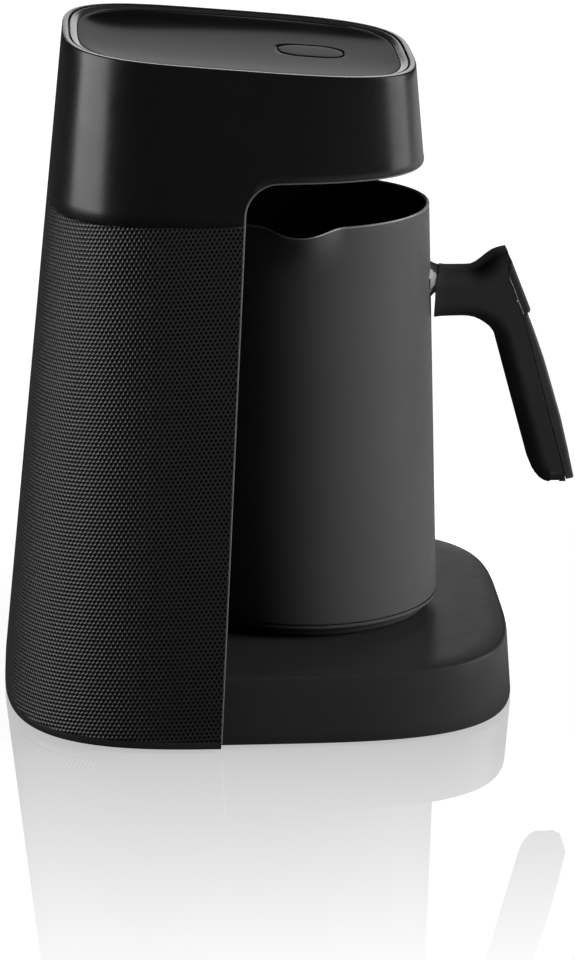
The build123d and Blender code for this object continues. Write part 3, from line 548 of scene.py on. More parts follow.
class Nodes:
    """A node tree, with short ways to add to it."""

    def __init__(self, tree: bpy.types.NodeTree) -> None:
        """Take up the tree."""
        self.tree = tree

    def add(self, kind: str, inputs: dict[Any, Any] | None = None, **settings: Any) -> Any:
        """Add a node.

        Args:
            kind: The node's type.
            inputs: Value or socket for each input, by name or number.
            **settings: The node's own properties.

        Returns:
            The node.
        """
        node = self.tree.nodes.new(kind)
        for key, value in settings.items():
            setattr(node, key, value)
        self.feed(node, inputs or {})
        return node

    def feed(self, node: Any, inputs: dict[Any, Any]) -> None:
        """Set or link a node's inputs.

        Args:
            node: The node.
            inputs: Value or socket for each input, by name or number.
        """
        for key, value in inputs.items():
            if isinstance(value, bpy.types.NodeSocket):
                self.tree.links.new(value, node.inputs[key])
            else:
                node.inputs[key].default_value = value

    def math(self, operation: str, *values: Any, clamp: bool = False) -> Any:
        """Result of a sum on numbers or sockets."""
        settings = {"operation": operation, "use_clamp": clamp}
        return self.add("ShaderNodeMath", dict(enumerate(values)), **settings).outputs[0]

    def ramp(
        self, value: Any, start: float, end: float, low: float, high: float, way: str = "LINEAR"
    ) -> Any:
        """Number that goes from one limit to another as a value goes from start to end.

        Args:
            value: The value that leads.
            start: Where it starts.
            end: Where it ends.
            low: Result at the start.
            high: Result at the end.
            way: Name of the curve between them.

        Returns:
            The result's socket.
        """
        inputs = {0: value, 1: start, 2: end, 3: low, 4: high}
        return self.add("ShaderNodeMapRange", inputs, interpolation_type=way).outputs[0]

    def mix(self, share: Any, low: Any, high: Any) -> Any:
        """Number between two numbers."""
        inputs = {0: share, 2: low, 3: high}
        return self.add("ShaderNodeMix", inputs, data_type="FLOAT").outputs[0]


class Shader(Nodes):
    """A material's nodes."""

    def __init__(self, name: str) -> None:
        """Make the material.

        Args:
            name: Name of the material.
        """
        self.material = bpy.data.materials.new(name)
        self.material.use_nodes = True
        super().__init__(self.material.node_tree)
        self.surface = self.tree.nodes["Principled BSDF"]

    def vector(self, operation: str, *values: Any) -> Any:
        """Result of a sum on vectors."""
        node = self.add("ShaderNodeVectorMath", dict(enumerate(values)), operation=operation)
        return node.outputs["Value" if operation == "LENGTH" else "Vector"]

    def place(self) -> Any:
        """Point on the piece, in metres."""
        return self.add("ShaderNodeTexCoord").outputs["Object"]

    def mapped(self, place: Any, **changes: Triple) -> Any:
        """Place that is turned or squeezed, as the mapping's inputs say."""
        return self.add("ShaderNodeMapping", {"Vector": place, **changes}).outputs[0]

    def noise(self, size: float, detail: float = 2.0, stretch: Triple = (1, 1, 1)) -> Any:
        """Soft noise.

        Args:
            size: Size of its blotches, in millimetres.
            detail: How many finer layers it has.
            stretch: How much it is squeezed along each axis.

        Returns:
            The noise's value.
        """
        place = self.mapped(self.place(), Scale=stretch)
        inputs = {"Vector": place, "Scale": 1 / (size * MM), "Detail": detail}
        return self.add("ShaderNodeTexNoise", inputs).outputs["Fac"]

    def between(self, noise: Any, low: float, high: float) -> Any:
        """Number between two limits, as a noise goes over its usual span."""
        return self.ramp(noise, 0.3, 0.7, low, high)

    def blend(self, share: Any, low: Any, high: Any) -> Any:
        """Colour between two colours."""
        inputs = {0: share, 6: low, 7: high}
        return self.add("ShaderNodeMix", inputs, data_type="RGBA").outputs[2]

    def relief(self, height: Any, depth: float, under: Any = None) -> Any:
        """Normal of a surface whose height varies.

        Args:
            height: Height of the relief, from 0 to 1.
            depth: Its depth in millimetres.
            under: Normal of a finer relief that it lies on.

        Returns:
            The normal's socket.
        """
        inputs = {"Height": height, "Distance": depth * MM, "Strength": 1.0}
        if under is not None:
            inputs["Normal"] = under
        return self.add("ShaderNodeBump", inputs).outputs[0]

    def layer(self, share: Any, low: Any, high: Any) -> Any:
        """Surface between two surfaces."""
        return self.add("ShaderNodeMixShader", {0: share, 1: low, 2: high}).outputs[0]


def rgba(colour: Triple, factor: float = 1.0) -> tuple[float, float, float, float]:
    """Colour for a socket, made lighter or darker by a factor."""
    return (*(min(channel * factor, 1.0) for channel in colour), 1.0)


@dataclass(frozen=True)
class Finish:
    """A moulded, painted or metal surface with its own small unevenness."""

    slot: str
    colour: Triple
    roughness: float
    specular: float = 0.5
    metallic: float = 0.0
    grain: Grain = Grain.PEBBLED
    grain_size: float = 0.45
    grain_depth: float = 0.012
    brush_squeeze: float = 0.05
    drift: float = 0.12
    drift_size: float = 38.0
    wear: float = 0.08
    wear_size: float = 9.0
    wear_span: Pair = (0.56, 0.72)
    wear_factor: float = 1.8
    gloss_patch: float = 12.0
    gloss_swing: float = 0.1

    def shade(self, shader: Shader) -> None:
        """Set what is the same all over."""
        inputs = {"Metallic": self.metallic, "Specular IOR Level": self.specular}
        shader.feed(shader.surface, inputs)

    def roughened(self, shader: Shader, noise: Any, swing: float) -> Any:
        """Roughness that a noise moves by a share to either side."""
        low, high = self.roughness * (1 - swing), self.roughness * (1 + swing)
        return shader.between(noise, low, min(high, 1.0))

    def colours(self, shader: Shader) -> Any:
        """Base colour: slow drift across the piece and paler specks of wear.

        Args:
            shader: The material being made.

        Returns:
            The colour's socket.
        """
        cloud = shader.noise(self.drift_size, 3.0)
        dark, pale = rgba(self.colour, 1 - self.drift), rgba(self.colour, 1 + self.drift)
        specks = shader.noise(self.wear_size, 6.0)
        rubbed = shader.ramp(specks, *self.wear_span, 0.0, self.wear)
        tone = shader.blend(cloud, dark, pale)
        return shader.blend(rubbed, tone, rgba(self.colour, self.wear_factor))

    def material(self) -> bpy.types.Material:
        """Make the material.

        Returns:
            The material, named for its slot.
        """
        shader = Shader(self.slot)
        self.shade(shader)
        stretch = (1, 1, self.brush_squeeze) if self.grain is Grain.BRUSHED else (1, 1, 1)
        height = shader.noise(self.grain_size, 2.0, stretch)
        gloss = shader.noise(self.grain_size * self.gloss_patch, 3.0, stretch)
        inputs = {
            "Base Color": self.colours(shader),
            "Roughness": self.roughened(shader, gloss, self.gloss_swing),
            "Normal": shader.relief(height, self.grain_depth),
        }
        shader.feed(shader.surface, inputs)
        return shader.material


@dataclass(frozen=True)
class PittedFinish(Finish):
    """Matte plastic moulded with close rows of small round pits."""

    pitch: float = 1.45
    turn: float = 4.0
    pit: float = 0.8
    pit_depth: float = 0.2
    # Painted shade: how dark the pits' colour is kept, and how much of their reflection is kept.
    pit_span: Pair = (0.15, 0.75)
    pit_painted_shade: float = 0.1
    pit_shade_specular: float = 0.04
    sheen: float = 0.08
    sheen_roughness: float = 0.4
    patch_size: float = 6.0
    patch_swing: float = 0.08

    def lattice(self, shader: Shader) -> Any:
        """Distance to the nearest pit's middle, on rows that are offset by half.

        Args:
            shader: The material being made.

        Returns:
            The distance's socket, in millimetres.
        """
        chart = shader.add("ShaderNodeUVMap", uv_map=WEAVE_MAP).outputs[0]
        turned = shader.mapped(chart, Rotation=(0, 0, math.radians(self.turn)))
        half = (self.pitch / 2, self.pitch * math.sqrt(3) / 2, 1.0)
        low = tuple(-value for value in half)
        distances = []
        for shift in ((0, 0, 0), half):
            cell = shader.vector("WRAP", shader.vector("ADD", turned, shift), half, low)
            distances.append(shader.vector("LENGTH", shader.vector("MULTIPLY", cell, (1, 1, 0))))
        return shader.math("MINIMUM", *distances)

    def material(self) -> bpy.types.Material:
        """Make the material.

        Returns:
            The material, with the pits in its relief, and painted shade darkening the pits' colour
            and reflection.
        """
        shader = Shader(self.slot)
        self.shade(shader)
        share = shader.math("DIVIDE", self.lattice(shader), self.pit)
        height = shader.math("MULTIPLY", share, share, clamp=True)
        fine = shader.relief(shader.noise(self.grain_size), self.grain_depth)
        # Painted shade in the pits: their colour goes towards black and their reflection is cut
        # down.
        pit_shade_mask = shader.ramp(height, *self.pit_span, self.pit_painted_shade, 1.0)
        lit = shader.math("MAXIMUM", pit_shade_mask, self.pit_shade_specular)
        patches = shader.noise(self.patch_size, 3.0)
        inputs = {
            "Base Color": shader.blend(pit_shade_mask, (0, 0, 0, 1), self.colours(shader)),
            "Roughness": self.roughened(shader, patches, self.patch_swing),
            "Normal": shader.relief(height, self.pit_depth, fine),
            "Specular IOR Level": shader.math("MULTIPLY", lit, self.specular),
            "Sheen Weight": self.sheen,
            "Sheen Roughness": self.sheen_roughness,
        }
        shader.feed(shader.surface, inputs)
        return shader.material


@dataclass(frozen=True)
class ClearFinish(Finish):
    """Glass or clear plastic."""

    clear: float = 0.9
    smear: float = 1.6
    smear_size: float = 3.0

    def material(self) -> bpy.types.Material:
        """Make the material.

        Returns:
            The material, with transmission.
        """
        shader = Shader(self.slot)
        self.shade(shader)
        noise = shader.noise(self.smear_size)
        inputs = {
            "Base Color": self.colours(shader),
            "Roughness": shader.between(noise, self.roughness, self.roughness * self.smear),
            "Transmission Weight": self.clear,
        }
        shader.feed(shader.surface, inputs)
        return shader.material


@dataclass(frozen=True)
class BoardFinish(Finish):
    """Printed board: solder mask with faint tracks under it."""

    def colours(self, shader: Shader) -> Any:
        """Base colour: the mask, a little paler where a track runs.

        Args:
            shader: The material being made.

        Returns:
            The colour's socket.
        """
        upright = shader.mapped(shader.place(), Rotation=(math.pi / 2, 0, math.pi / 2))
        inputs = {
            "Vector": upright, "Scale": 90.0, "Mortar Size": 0.06, "Brick Width": 0.9,
            "Row Height": 0.35, "Color1": rgba(self.colour), "Color2": rgba(self.colour, 0.85),
            "Mortar": rgba(self.colour, 1.7),
        }
        return shader.add("ShaderNodeTexBrick", inputs).outputs["Color"]


class Palette:
    """Every finish of the machine, by its slot or its own name, each made once."""

    def __init__(self) -> None:
        """Set out the finishes."""
        panel = {"grain_size": 1.5, "grain_depth": 0.0005, "drift": 0.05, "wear": 0.01}
        # Grain for the pale beads and patches that paint highlights on edges.
        edge = {"grain_size": 0.8, "wear": 0.02}
        brushed = {"metallic": 1.0, "grain": Grain.BRUSHED}
        steel = {**brushed, "grain_size": 0.2}
        finishes = [
            Finish("satin_black", (0.003, 0.003, 0.0032), 0.28, grain_size=1.1,
                   grain_depth=0.0012, wear=0.02),
            PittedFinish("textured_black", (0.012, 0.012, 0.0123), 0.34, 0.85, grain_size=0.2,
                         grain_depth=0.006),
            Finish("matte_black", (0.021, 0.021, 0.0214), 0.33, 0.14, grain_size=0.4,
                   grain_depth=0.007),
            Finish("bay_black", (0.0015, 0.0015, 0.0016), 0.4, 0.08, grain_size=0.5,
                   grain_depth=0.008),
            Finish("bezel_black", (0.02, 0.02, 0.0205), 0.14, 0.3, grain_size=0.8,
                   grain_depth=0.0006, wear=0.03),
            Finish("panel_grey", (0.004, 0.004, 0.0041), 0.075, 0.003, **panel),
            Finish("button_grey", (0.004, 0.004, 0.0041), 0.075, 0.003, **panel),
            Finish("pot_coating", (0.048, 0.048, 0.0475), 0.46, 0.08, grain_size=0.5,
                   grain_depth=0.005, drift=0.08),
            Finish("pot_inside", (0.0015, 0.0015, 0.0016), 0.5, 0.03, grain_size=0.5,
                   grain_depth=0.005),
            Finish("handle_black", (0.027, 0.027, 0.0275), 0.5, 0.008),
            Finish("thumb_soft", (0.024, 0.024, 0.0245), 0.6, 0.1, grain_size=0.25,
                   grain_depth=0.01),
            Finish("cover_black", (0.027, 0.027, 0.0275), 0.4, 0.2, grain_size=0.4,
                   grain_depth=0.006),
            # Light grey for the bead round the opening: a painted highlight along its edge.
            Finish("opening_painted_highlight", (0.085, 0.085, 0.088), 0.3, 0.6, grain_depth=0.001, **edge),
            # Pale grey for the grip foot's sides: a painted highlight.
            Finish("foot_edge", (0.19, 0.19, 0.193), 0.4, 0.4, grain_depth=0.002, **edge),
            # Pale grey for the thumb rest's seam beads: a painted highlight.
            Finish("painted_highlight_line", (0.17, 0.17, 0.174), 0.3, 0.6, grain_depth=0.001, **edge),
            # Half-metallic and pale for the bead round the pot's rim: a painted highlight on the
            # rim's edge.
            Finish("rim_painted_highlight", (0.25, 0.25, 0.25), 0.3, 0.5, 0.6, grain_depth=0.001, **edge),
            Finish("base_black", (0.02, 0.02, 0.021), 0.5),
            Finish("foot_rubber", (0.02, 0.02, 0.02), 0.75, 0.4, grain_depth=0.03),
            Finish("gland_rubber", (0.02, 0.02, 0.02), 0.6, 0.4, grain_depth=0.02),
            Finish("seal_silicone", (0.09, 0.09, 0.095), 0.5, 0.4, grain_depth=0.01),
            Finish("coupler_plastic", (0.035, 0.035, 0.037), 0.4, grain_depth=0.008),
            Finish("frame_plastic", (0.3, 0.3, 0.29), 0.5),
            Finish("transformer_core", (0.16, 0.14, 0.12), 0.5, 0.5, 0.3, Grain.BRUSHED,
                   grain_depth=0.05),
            Finish("relay_blue", (0.06, 0.14, 0.4), 0.3),
            Finish("capacitor_sleeve", (0.04, 0.05, 0.09), 0.28, grain_depth=0.004),
            Finish("terminal_grey", (0.55, 0.56, 0.55), 0.5),
            Finish("lead_brown", (0.18, 0.09, 0.05), 0.45, grain_depth=0.01),
            Finish("lead_red", (0.5, 0.06, 0.04), 0.55, 0.4, grain_depth=0.01),
            Finish("ribbon_grey", (0.5, 0.5, 0.52), 0.5, 0.4, grain=Grain.BRUSHED,
                   grain_depth=0.06),
            Finish("thermostat_ceramic", (0.75, 0.72, 0.66), 0.6, grain_depth=0.02),
            Finish("zinc_steel", (0.62, 0.62, 0.6), 0.35, **steel),
            Finish("sink_aluminium", (0.7, 0.71, 0.72), 0.38, grain_size=0.25, **brushed),
            Finish("contact_brass", (0.72, 0.56, 0.28), 0.25, **steel),
            Finish("spring_steel", (0.55, 0.55, 0.54), 0.28, **steel),
            Finish("element_steel", (0.4, 0.38, 0.35), 0.42, metallic=1.0, drift=0.3),
            Finish("bracket_steel", (0.6, 0.6, 0.61), 0.33, **steel),
            ClearFinish("fuse_glass", (0.85, 0.88, 0.88), 0.04),
            ClearFinish("window_clear", (0.25, 0.27, 0.29), 0.06),
            ClearFinish("led_white", (0.85, 0.87, 0.9), 0.12),
            BoardFinish("board_green", (0.05, 0.2, 0.09), 0.35, grain_depth=0.004),
        ]
        self.finishes = {finish.slot: finish for finish in finishes}
        self.made: dict[str, bpy.types.Material] = {}

    def get(self, slot: str) -> bpy.types.Material:
        """Find a material, or make it the first time that it is asked for.

        Args:
            slot: Slot or name of the finish.

        Returns:
            The material.
        """
        if slot not in self.made:
            self.made[slot] = self.finishes[slot].material()
        return self.made[slot]


@dataclass
class Workshop:
    """What every sub-assembly needs to dress its pieces."""

    frame: dict[str, Any]
    palette: Palette = field(default_factory=Palette)

    def dress(
        self,
        skin: Skin,
        name: str,
        body: Body,
        slot: str,
        *nodes: str,
        crease: float = 32.0,
        finish: str = "",
    ) -> bpy.types.Object:
        """Finish a skin, give it its material, and tie it to the frame.

        Args:
            skin: The mesh in the making.
            name: Name of the piece.
            body: Body that it rides on.
            slot: Slot that it takes its finish from.
            *nodes: Nodes of the frame that it stands for.
            crease: Angle in degrees past which an edge stays sharp.
            finish: Finish to wear when it isn't the slot's own.

        Returns:
            The piece.
        """
        piece = skin.finish(name, crease)
        piece.data.materials.append(self.palette.get(finish or slot))
        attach(piece, body.value)
        if nodes:
            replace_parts(piece, *nodes)
        LOG.info("%s: %d faces, %s", name, len(piece.data.polygons), slot)
        return piece

    def trim(
        self, piece: bpy.types.Object, finish: str, chosen: Callable[[bpy.types.MeshPolygon], bool]
    ) -> None:
        """Give some faces of a piece another finish.

        Args:
            piece: The piece.
            finish: The finish for those faces.
            chosen: Tells which faces they are.
        """
        piece.data.materials.append(self.palette.get(finish))
        for face in piece.data.polygons:
            if chosen(face):
                face.material_index = 1

    def dress_nodes(self, hidden: set[str]) -> None:
        """Give every node that still shows the material of its slot.

        Args:
            hidden: Nodes that new pieces stand for.
        """
        slots = {row["node"]: row["material_slot"] for row in self.frame["record"]["subparts"]}
        for name, node in self.frame["nodes"].items():
            if name in hidden:
                continue
            node.data.materials.clear()
            node.data.materials.append(self.palette.get(slots[name]))
            LOG.info("%s: kept, %s", name, slots[name])


# ---------------------------------------------------------------------------
# Machine


@dataclass
class Platform:
    """Base that the pot stands on, open underneath, with the coupler's hole."""

    shop: Workshop
    columns: int = 192
    bottom: float = 1.2
    top: float = 22.8
    wall: float = 2.4
    hole_x: float = 17.6
    hole_radius: float = 17.2
    edge: float = 1.1
    edge_steps: int = 4
    foot_edge: float = 0.7
    foot_rise: float = 0.2
    wall_heights: Triple = (6.0, 11.0, 16.0)
    top_rows: int = 9
    under_shares: Triple = (0.66, 0.33, 0.04)

    def top_point(self, angle: float, share: float, height: float) -> Vector:
        """Point of the flat top between its outer edge and the hole.

        Args:
            angle: Polar angle, in radians.
            share: Share of the way from the edge to the hole.
            height: Height of the point.

        Returns:
            The point.
        """
        x = self.hole_x + self.hole_radius * math.cos(angle)
        inner = Vector((x, self.hole_radius * math.sin(angle), height))
        return PLATFORM.point(angle, height, self.edge).lerp(inner, share)

    def section(self, angle: float) -> list[Vector]:
        """Closed section of the shell's wall and top.

        Args:
            angle: Polar angle of the section, in radians.

        Returns:
            The section's points.
        """
        low, high, edge, rise = self.bottom, self.top, self.edge, self.foot_rise
        under = high - self.wall
        marks = [(low, self.wall), (low, self.foot_edge), (low + rise, rise)]
        marks += [(height, 0.0) for height in (low + self.foot_edge, *self.wall_heights)]
        for turn in spaced(0.0, math.pi / 2, self.edge_steps):
            marks.append((high - edge + edge * math.sin(turn), edge - edge * math.cos(turn)))
        points = [PLATFORM.point(angle, *mark) for mark in marks]
        shares = spaced(0.0, 1.0, self.top_rows)[1:]
        points += [self.top_point(angle, share, high) for share in shares]
        points += [self.top_point(angle, share, under) for share in (1.0, *self.under_shares)]
        points.append(PLATFORM.point(angle, under, self.wall))
        return points

    def build(self) -> None:
        """Make the platform's shell."""
        skin = Skin.wrapped([self.section(turn) for turn in turns(self.columns)])
        self.shop.dress(skin, "platform_shell", Body.MACHINE, "matte_black", "base_shell")


@dataclass
class Column:
    """Textured lower casing, open at the bay, over a plain band at its foot."""

    shop: Workshop
    steps: int = 220
    rows: int = 44
    samples: int = 240
    foot: float = 1.2
    foot_top: float = 3.7
    foot_round: float = 0.9
    foot_inset: float = 0.08
    bottom: float = 3.8
    wall: float = 2.4
    edge_round: float = 0.2
    pattern_start: float = 0.14

    def strip(self, height: float, inset: float) -> list[Vector]:
        """Even points of a level slice, from the near edge round the back to the far edge.

        Args:
            height: Height of the slice.
            inset: How far it is moved in.

        Returns:
            The points.
        """
        edge = OPENING.edge(height)
        start = CASING.angle_at(edge, height)
        angles = spaced(start, 2 * math.pi - start, self.samples)
        points = [CASING.point(-angle, height, inset) for angle in angles]
        points[0].x = points[-1].x = edge
        return evenly(points, self.steps)

    def levels(self) -> list[Pair]:
        """Rows of the textured skin.

        Returns:
            Their heights and insets, up the outside and down the inside.
        """
        low, top, edge, wall = self.bottom, OPENING.column_top, self.edge_round, self.wall
        outer = [(height, 0.0) for height in spaced(low + edge, top - edge, self.rows)]
        inner = [(top, wall), (lerp(low, top, 0.5), wall), (low, wall)]
        return [(low, edge), *outer, (top, edge), *inner]

    def chart(self, levels: Sequence[Pair]) -> Callable[[int, int], Pair]:
        """How the pattern unrolls: flat, as the skin of a cone does.

        Args:
            levels: Heights and insets of the skin's rows.

        Returns:
            Function from a column and a row of the skin to a place on the pattern.
        """
        lengths = []
        for level in (levels[1], levels[self.rows + 1]):
            strip = self.strip(*level)
            lengths.append(sum((b - a).length for a, b in zip(strip, strip[1:])))
        lean = math.cos(math.atan(CASING.side_lean))
        slant = (OPENING.column_top - self.bottom) / lean
        spread = (lengths[0] - lengths[1]) / slant
        reach = lengths[0] / spread

        def place(column: int, row: int) -> Pair:
            """Place on the pattern.

            Args:
                column: Column of the skin.
                row: Row of the skin.

            Returns:
                The place, in millimetres.
            """
            turn = (column / self.steps - self.pattern_start) * spread
            radius = reach - (levels[row % len(levels)][0] - self.bottom) / lean
            return radius * math.sin(turn), -radius * math.cos(turn)

        return place

    def make(self, levels: Sequence[Pair], name: str, slot: str, charted: bool = False) -> None:
        """Make a piece of rows that run round the back, with its edges closed.

        Args:
            levels: Heights and insets of its rows.
            name: Name of the piece.
            slot: Slot that it takes its finish from.
            charted: Whether it carries the pattern's chart.
        """
        strips = [self.strip(*level) for level in levels]
        count = len(levels)
        chart = self.chart(levels) if charted else None
        skin = Skin.over(self.steps, count, lambda column, row: strips[row % count][column], chart)
        skin.fill_ends()
        self.shop.dress(skin, name, Body.MACHINE, slot, "column_shell")

    def build(self) -> None:
        """Make the plain band and the textured skin over it."""
        low, high, edge, inset = self.foot, self.foot_top, self.foot_round, self.foot_inset
        band = [(low, self.wall), (low, edge), (low + 0.25 * edge, 0.4 * edge)]
        band += [(low + edge, inset), (high - 0.25, inset), (high, 0.3), (high, self.wall)]
        self.make(band, "column_foot", "matte_black")
        self.make(self.levels(), "column_skin", "textured_black", charted=True)


@dataclass
class Head:
    """Smooth upper casing that overhangs the pot."""

    shop: Workshop
    steps: int = 150
    rows: int = 12
    front_steps: int = 60
    corner_steps: int = 24
    back_steps: int = 90
    wall: float = 2.4
    band: float = 1.9
    groove_depth: float = 1.6
    spread: float = 5.0
    seat_heights: tuple[float, ...] = (166.6, 165.8, 165.0, OPENING.head_seat)
    lower_round: tuple[Pair, ...] = ((0.0, 0.2), (-0.06, 0.06), (-0.2, 0.0))
    upper_round: tuple[Pair, ...] = ((0.4, 0.0), (0.2, 0.04), (0.05, 0.15), (0.0, 0.35))
    band_round: tuple[Pair, ...] = ((0.0, 0.15), (0.05, 0.04), (0.3, 0.0))
    inner_shares: Triple = (0.75, 0.5, 0.25)

    def rim(self) -> list[Triple]:
        """Half of the lower rim, from the front to the back.

        Returns:
            Rows of angle, height, and angle on the top's edge.
        """
        corner = OPENING.corner(self.corner_steps)[::-1] + OPENING.rim(self.seat_heights)
        start = CASING.angle_at(corner[0][0], OPENING.head_bottom)
        end = CASING.angle_at(*corner[-1])
        angles = spaced(0.0, start, self.front_steps)[:-1]
        line = [CASING.point(angle, OPENING.head_bottom) for angle in angles]
        line += [CASING.point(CASING.angle_at(x, z), z) for x, z in corner]
        angles = spaced(end, math.pi, self.back_steps)[1:]
        line += [CASING.point(angle, OPENING.head_seat) for angle in angles]
        places = evenly(line, self.steps)
        seen = [CASING.angle_at(point.x, point.z) for point in places]
        first = next(index for index, angle in enumerate(seen) if angle >= start)
        last = next(index for index, angle in enumerate(seen) if angle >= end - 1e-5)
        high = CASING.angle_at(corner[0][0] + self.spread, TOP.height)
        low = CASING.angle_at(corner[-1][0] - self.spread, TOP.height)
        found = []
        for index, (point, angle) in enumerate(zip(places, seen)):
            if index < first:
                upper = high * index / first
            elif index < last:
                upper = lerp(high, low, (index - first) / (last - first))
            else:
                upper = lerp(low, math.pi, (index - last) / (len(places) - 1 - last))
            found.append((angle, point.z, upper))
        return found

    def section(self, angle: float, height: float, upper: float, sign: int) -> list[Vector]:
        """Closed section of the wall over one point of the lower rim.

        Args:
            angle: Polar angle at the lower rim.
            height: Height of the lower rim.
            upper: Polar angle at the top.
            sign: Side of the machine, -1 or 1.

        Returns:
            The section's points, up the outside and down the inside.
        """

        def wall_point(share: float, drop: float, inset: float) -> Vector:
            """Point of the wall.

            Args:
                share: Share of the way up.
                drop: How far it is lowered.
                inset: How far it is moved in.

            Returns:
                The point.
            """
            turn = sign * lerp(angle, upper, share)
            top = TOP.ring_point(CASING, turn, 0.0, 0.0).z
            return CASING.point(turn, lerp(height, top, share) - drop, inset)

        points = [wall_point(0, 0, self.wall)]
        points += [wall_point(0, drop, inset) for drop, inset in self.lower_round]
        points += [wall_point(step / self.rows, 0, 0) for step in range(1, self.rows)]
        marks = [*self.upper_round]
        marks += [(depth, self.band - inset) for depth, inset in self.band_round]
        marks += [(self.groove_depth, self.band), (self.groove_depth, self.wall)]
        points += [TOP.ring_point(CASING, sign * upper, *mark) for mark in marks]
        points += [wall_point(share, 0, self.wall) for share in self.inner_shares]
        return points

    def build(self) -> None:
        """Make the head's shell."""
        near = self.rim()
        marks = [(*row, -1) for row in near] + [(*row, 1) for row in near[-2:0:-1]]
        skin = Skin.wrapped([self.section(*mark) for mark in marks])
        piece = self.shop.dress(skin, "head_casing", Body.MACHINE, "satin_black", "head_shell")
        self.shop.trim(piece, "bezel_black", self.on_band)

    def on_band(self, face: bpy.types.MeshPolygon) -> bool:
        """Tell whether a face lies on the flat band round the top."""
        return face.normal.z > 0.95 and face.center.z > TOP.level(face.center.x / MM, 0.5) * MM


@dataclass
class OpeningEdge:
    """Fine pale bead round the bay opening, down the column and along the head's lower edge, a
    painted highlight.
    """

    shop: Workshop
    low: float = 3.0
    straight_top: float = 167.2
    straight_steps: int = 60
    corner_steps: int = 20
    head_steps: int = 70
    radius: float = 0.28
    inset: float = 0.16

    def line(self) -> list[Vector]:
        """Middle of the bead on the near side, from the column's foot to the front.

        Returns:
            The points of the line.
        """
        heights = spaced(self.low, self.straight_top, self.straight_steps)
        points = OPENING.rim(heights) + OPENING.corner(self.corner_steps)
        line = [CASING.point(-CASING.angle_at(x, z), z, self.inset) for x, z in points]
        start = CASING.angle_at(points[-1][0], OPENING.head_bottom)
        for share in spaced(0.0, 1.0, self.head_steps)[1:]:
            line.append(CASING.point(-start * (1 - share), OPENING.head_bottom, self.inset))
        return line

    def outward(self, point: Vector) -> Vector:
        """Level direction away from the casing's middle."""
        return Vector((point.x - CASING.widest, point.y, 0.0))

    def build(self) -> None:
        """Make the bead in one run from side to side."""
        near = self.line()
        far = [Vector((point.x, -point.y, point.z)) for point in near[-2::-1]]
        self.shop.dress(
            bead(near + far, self.outward, self.radius), "opening_edge", Body.MACHINE,
            "bezel_black", crease=70, finish="opening_painted_highlight",
        )


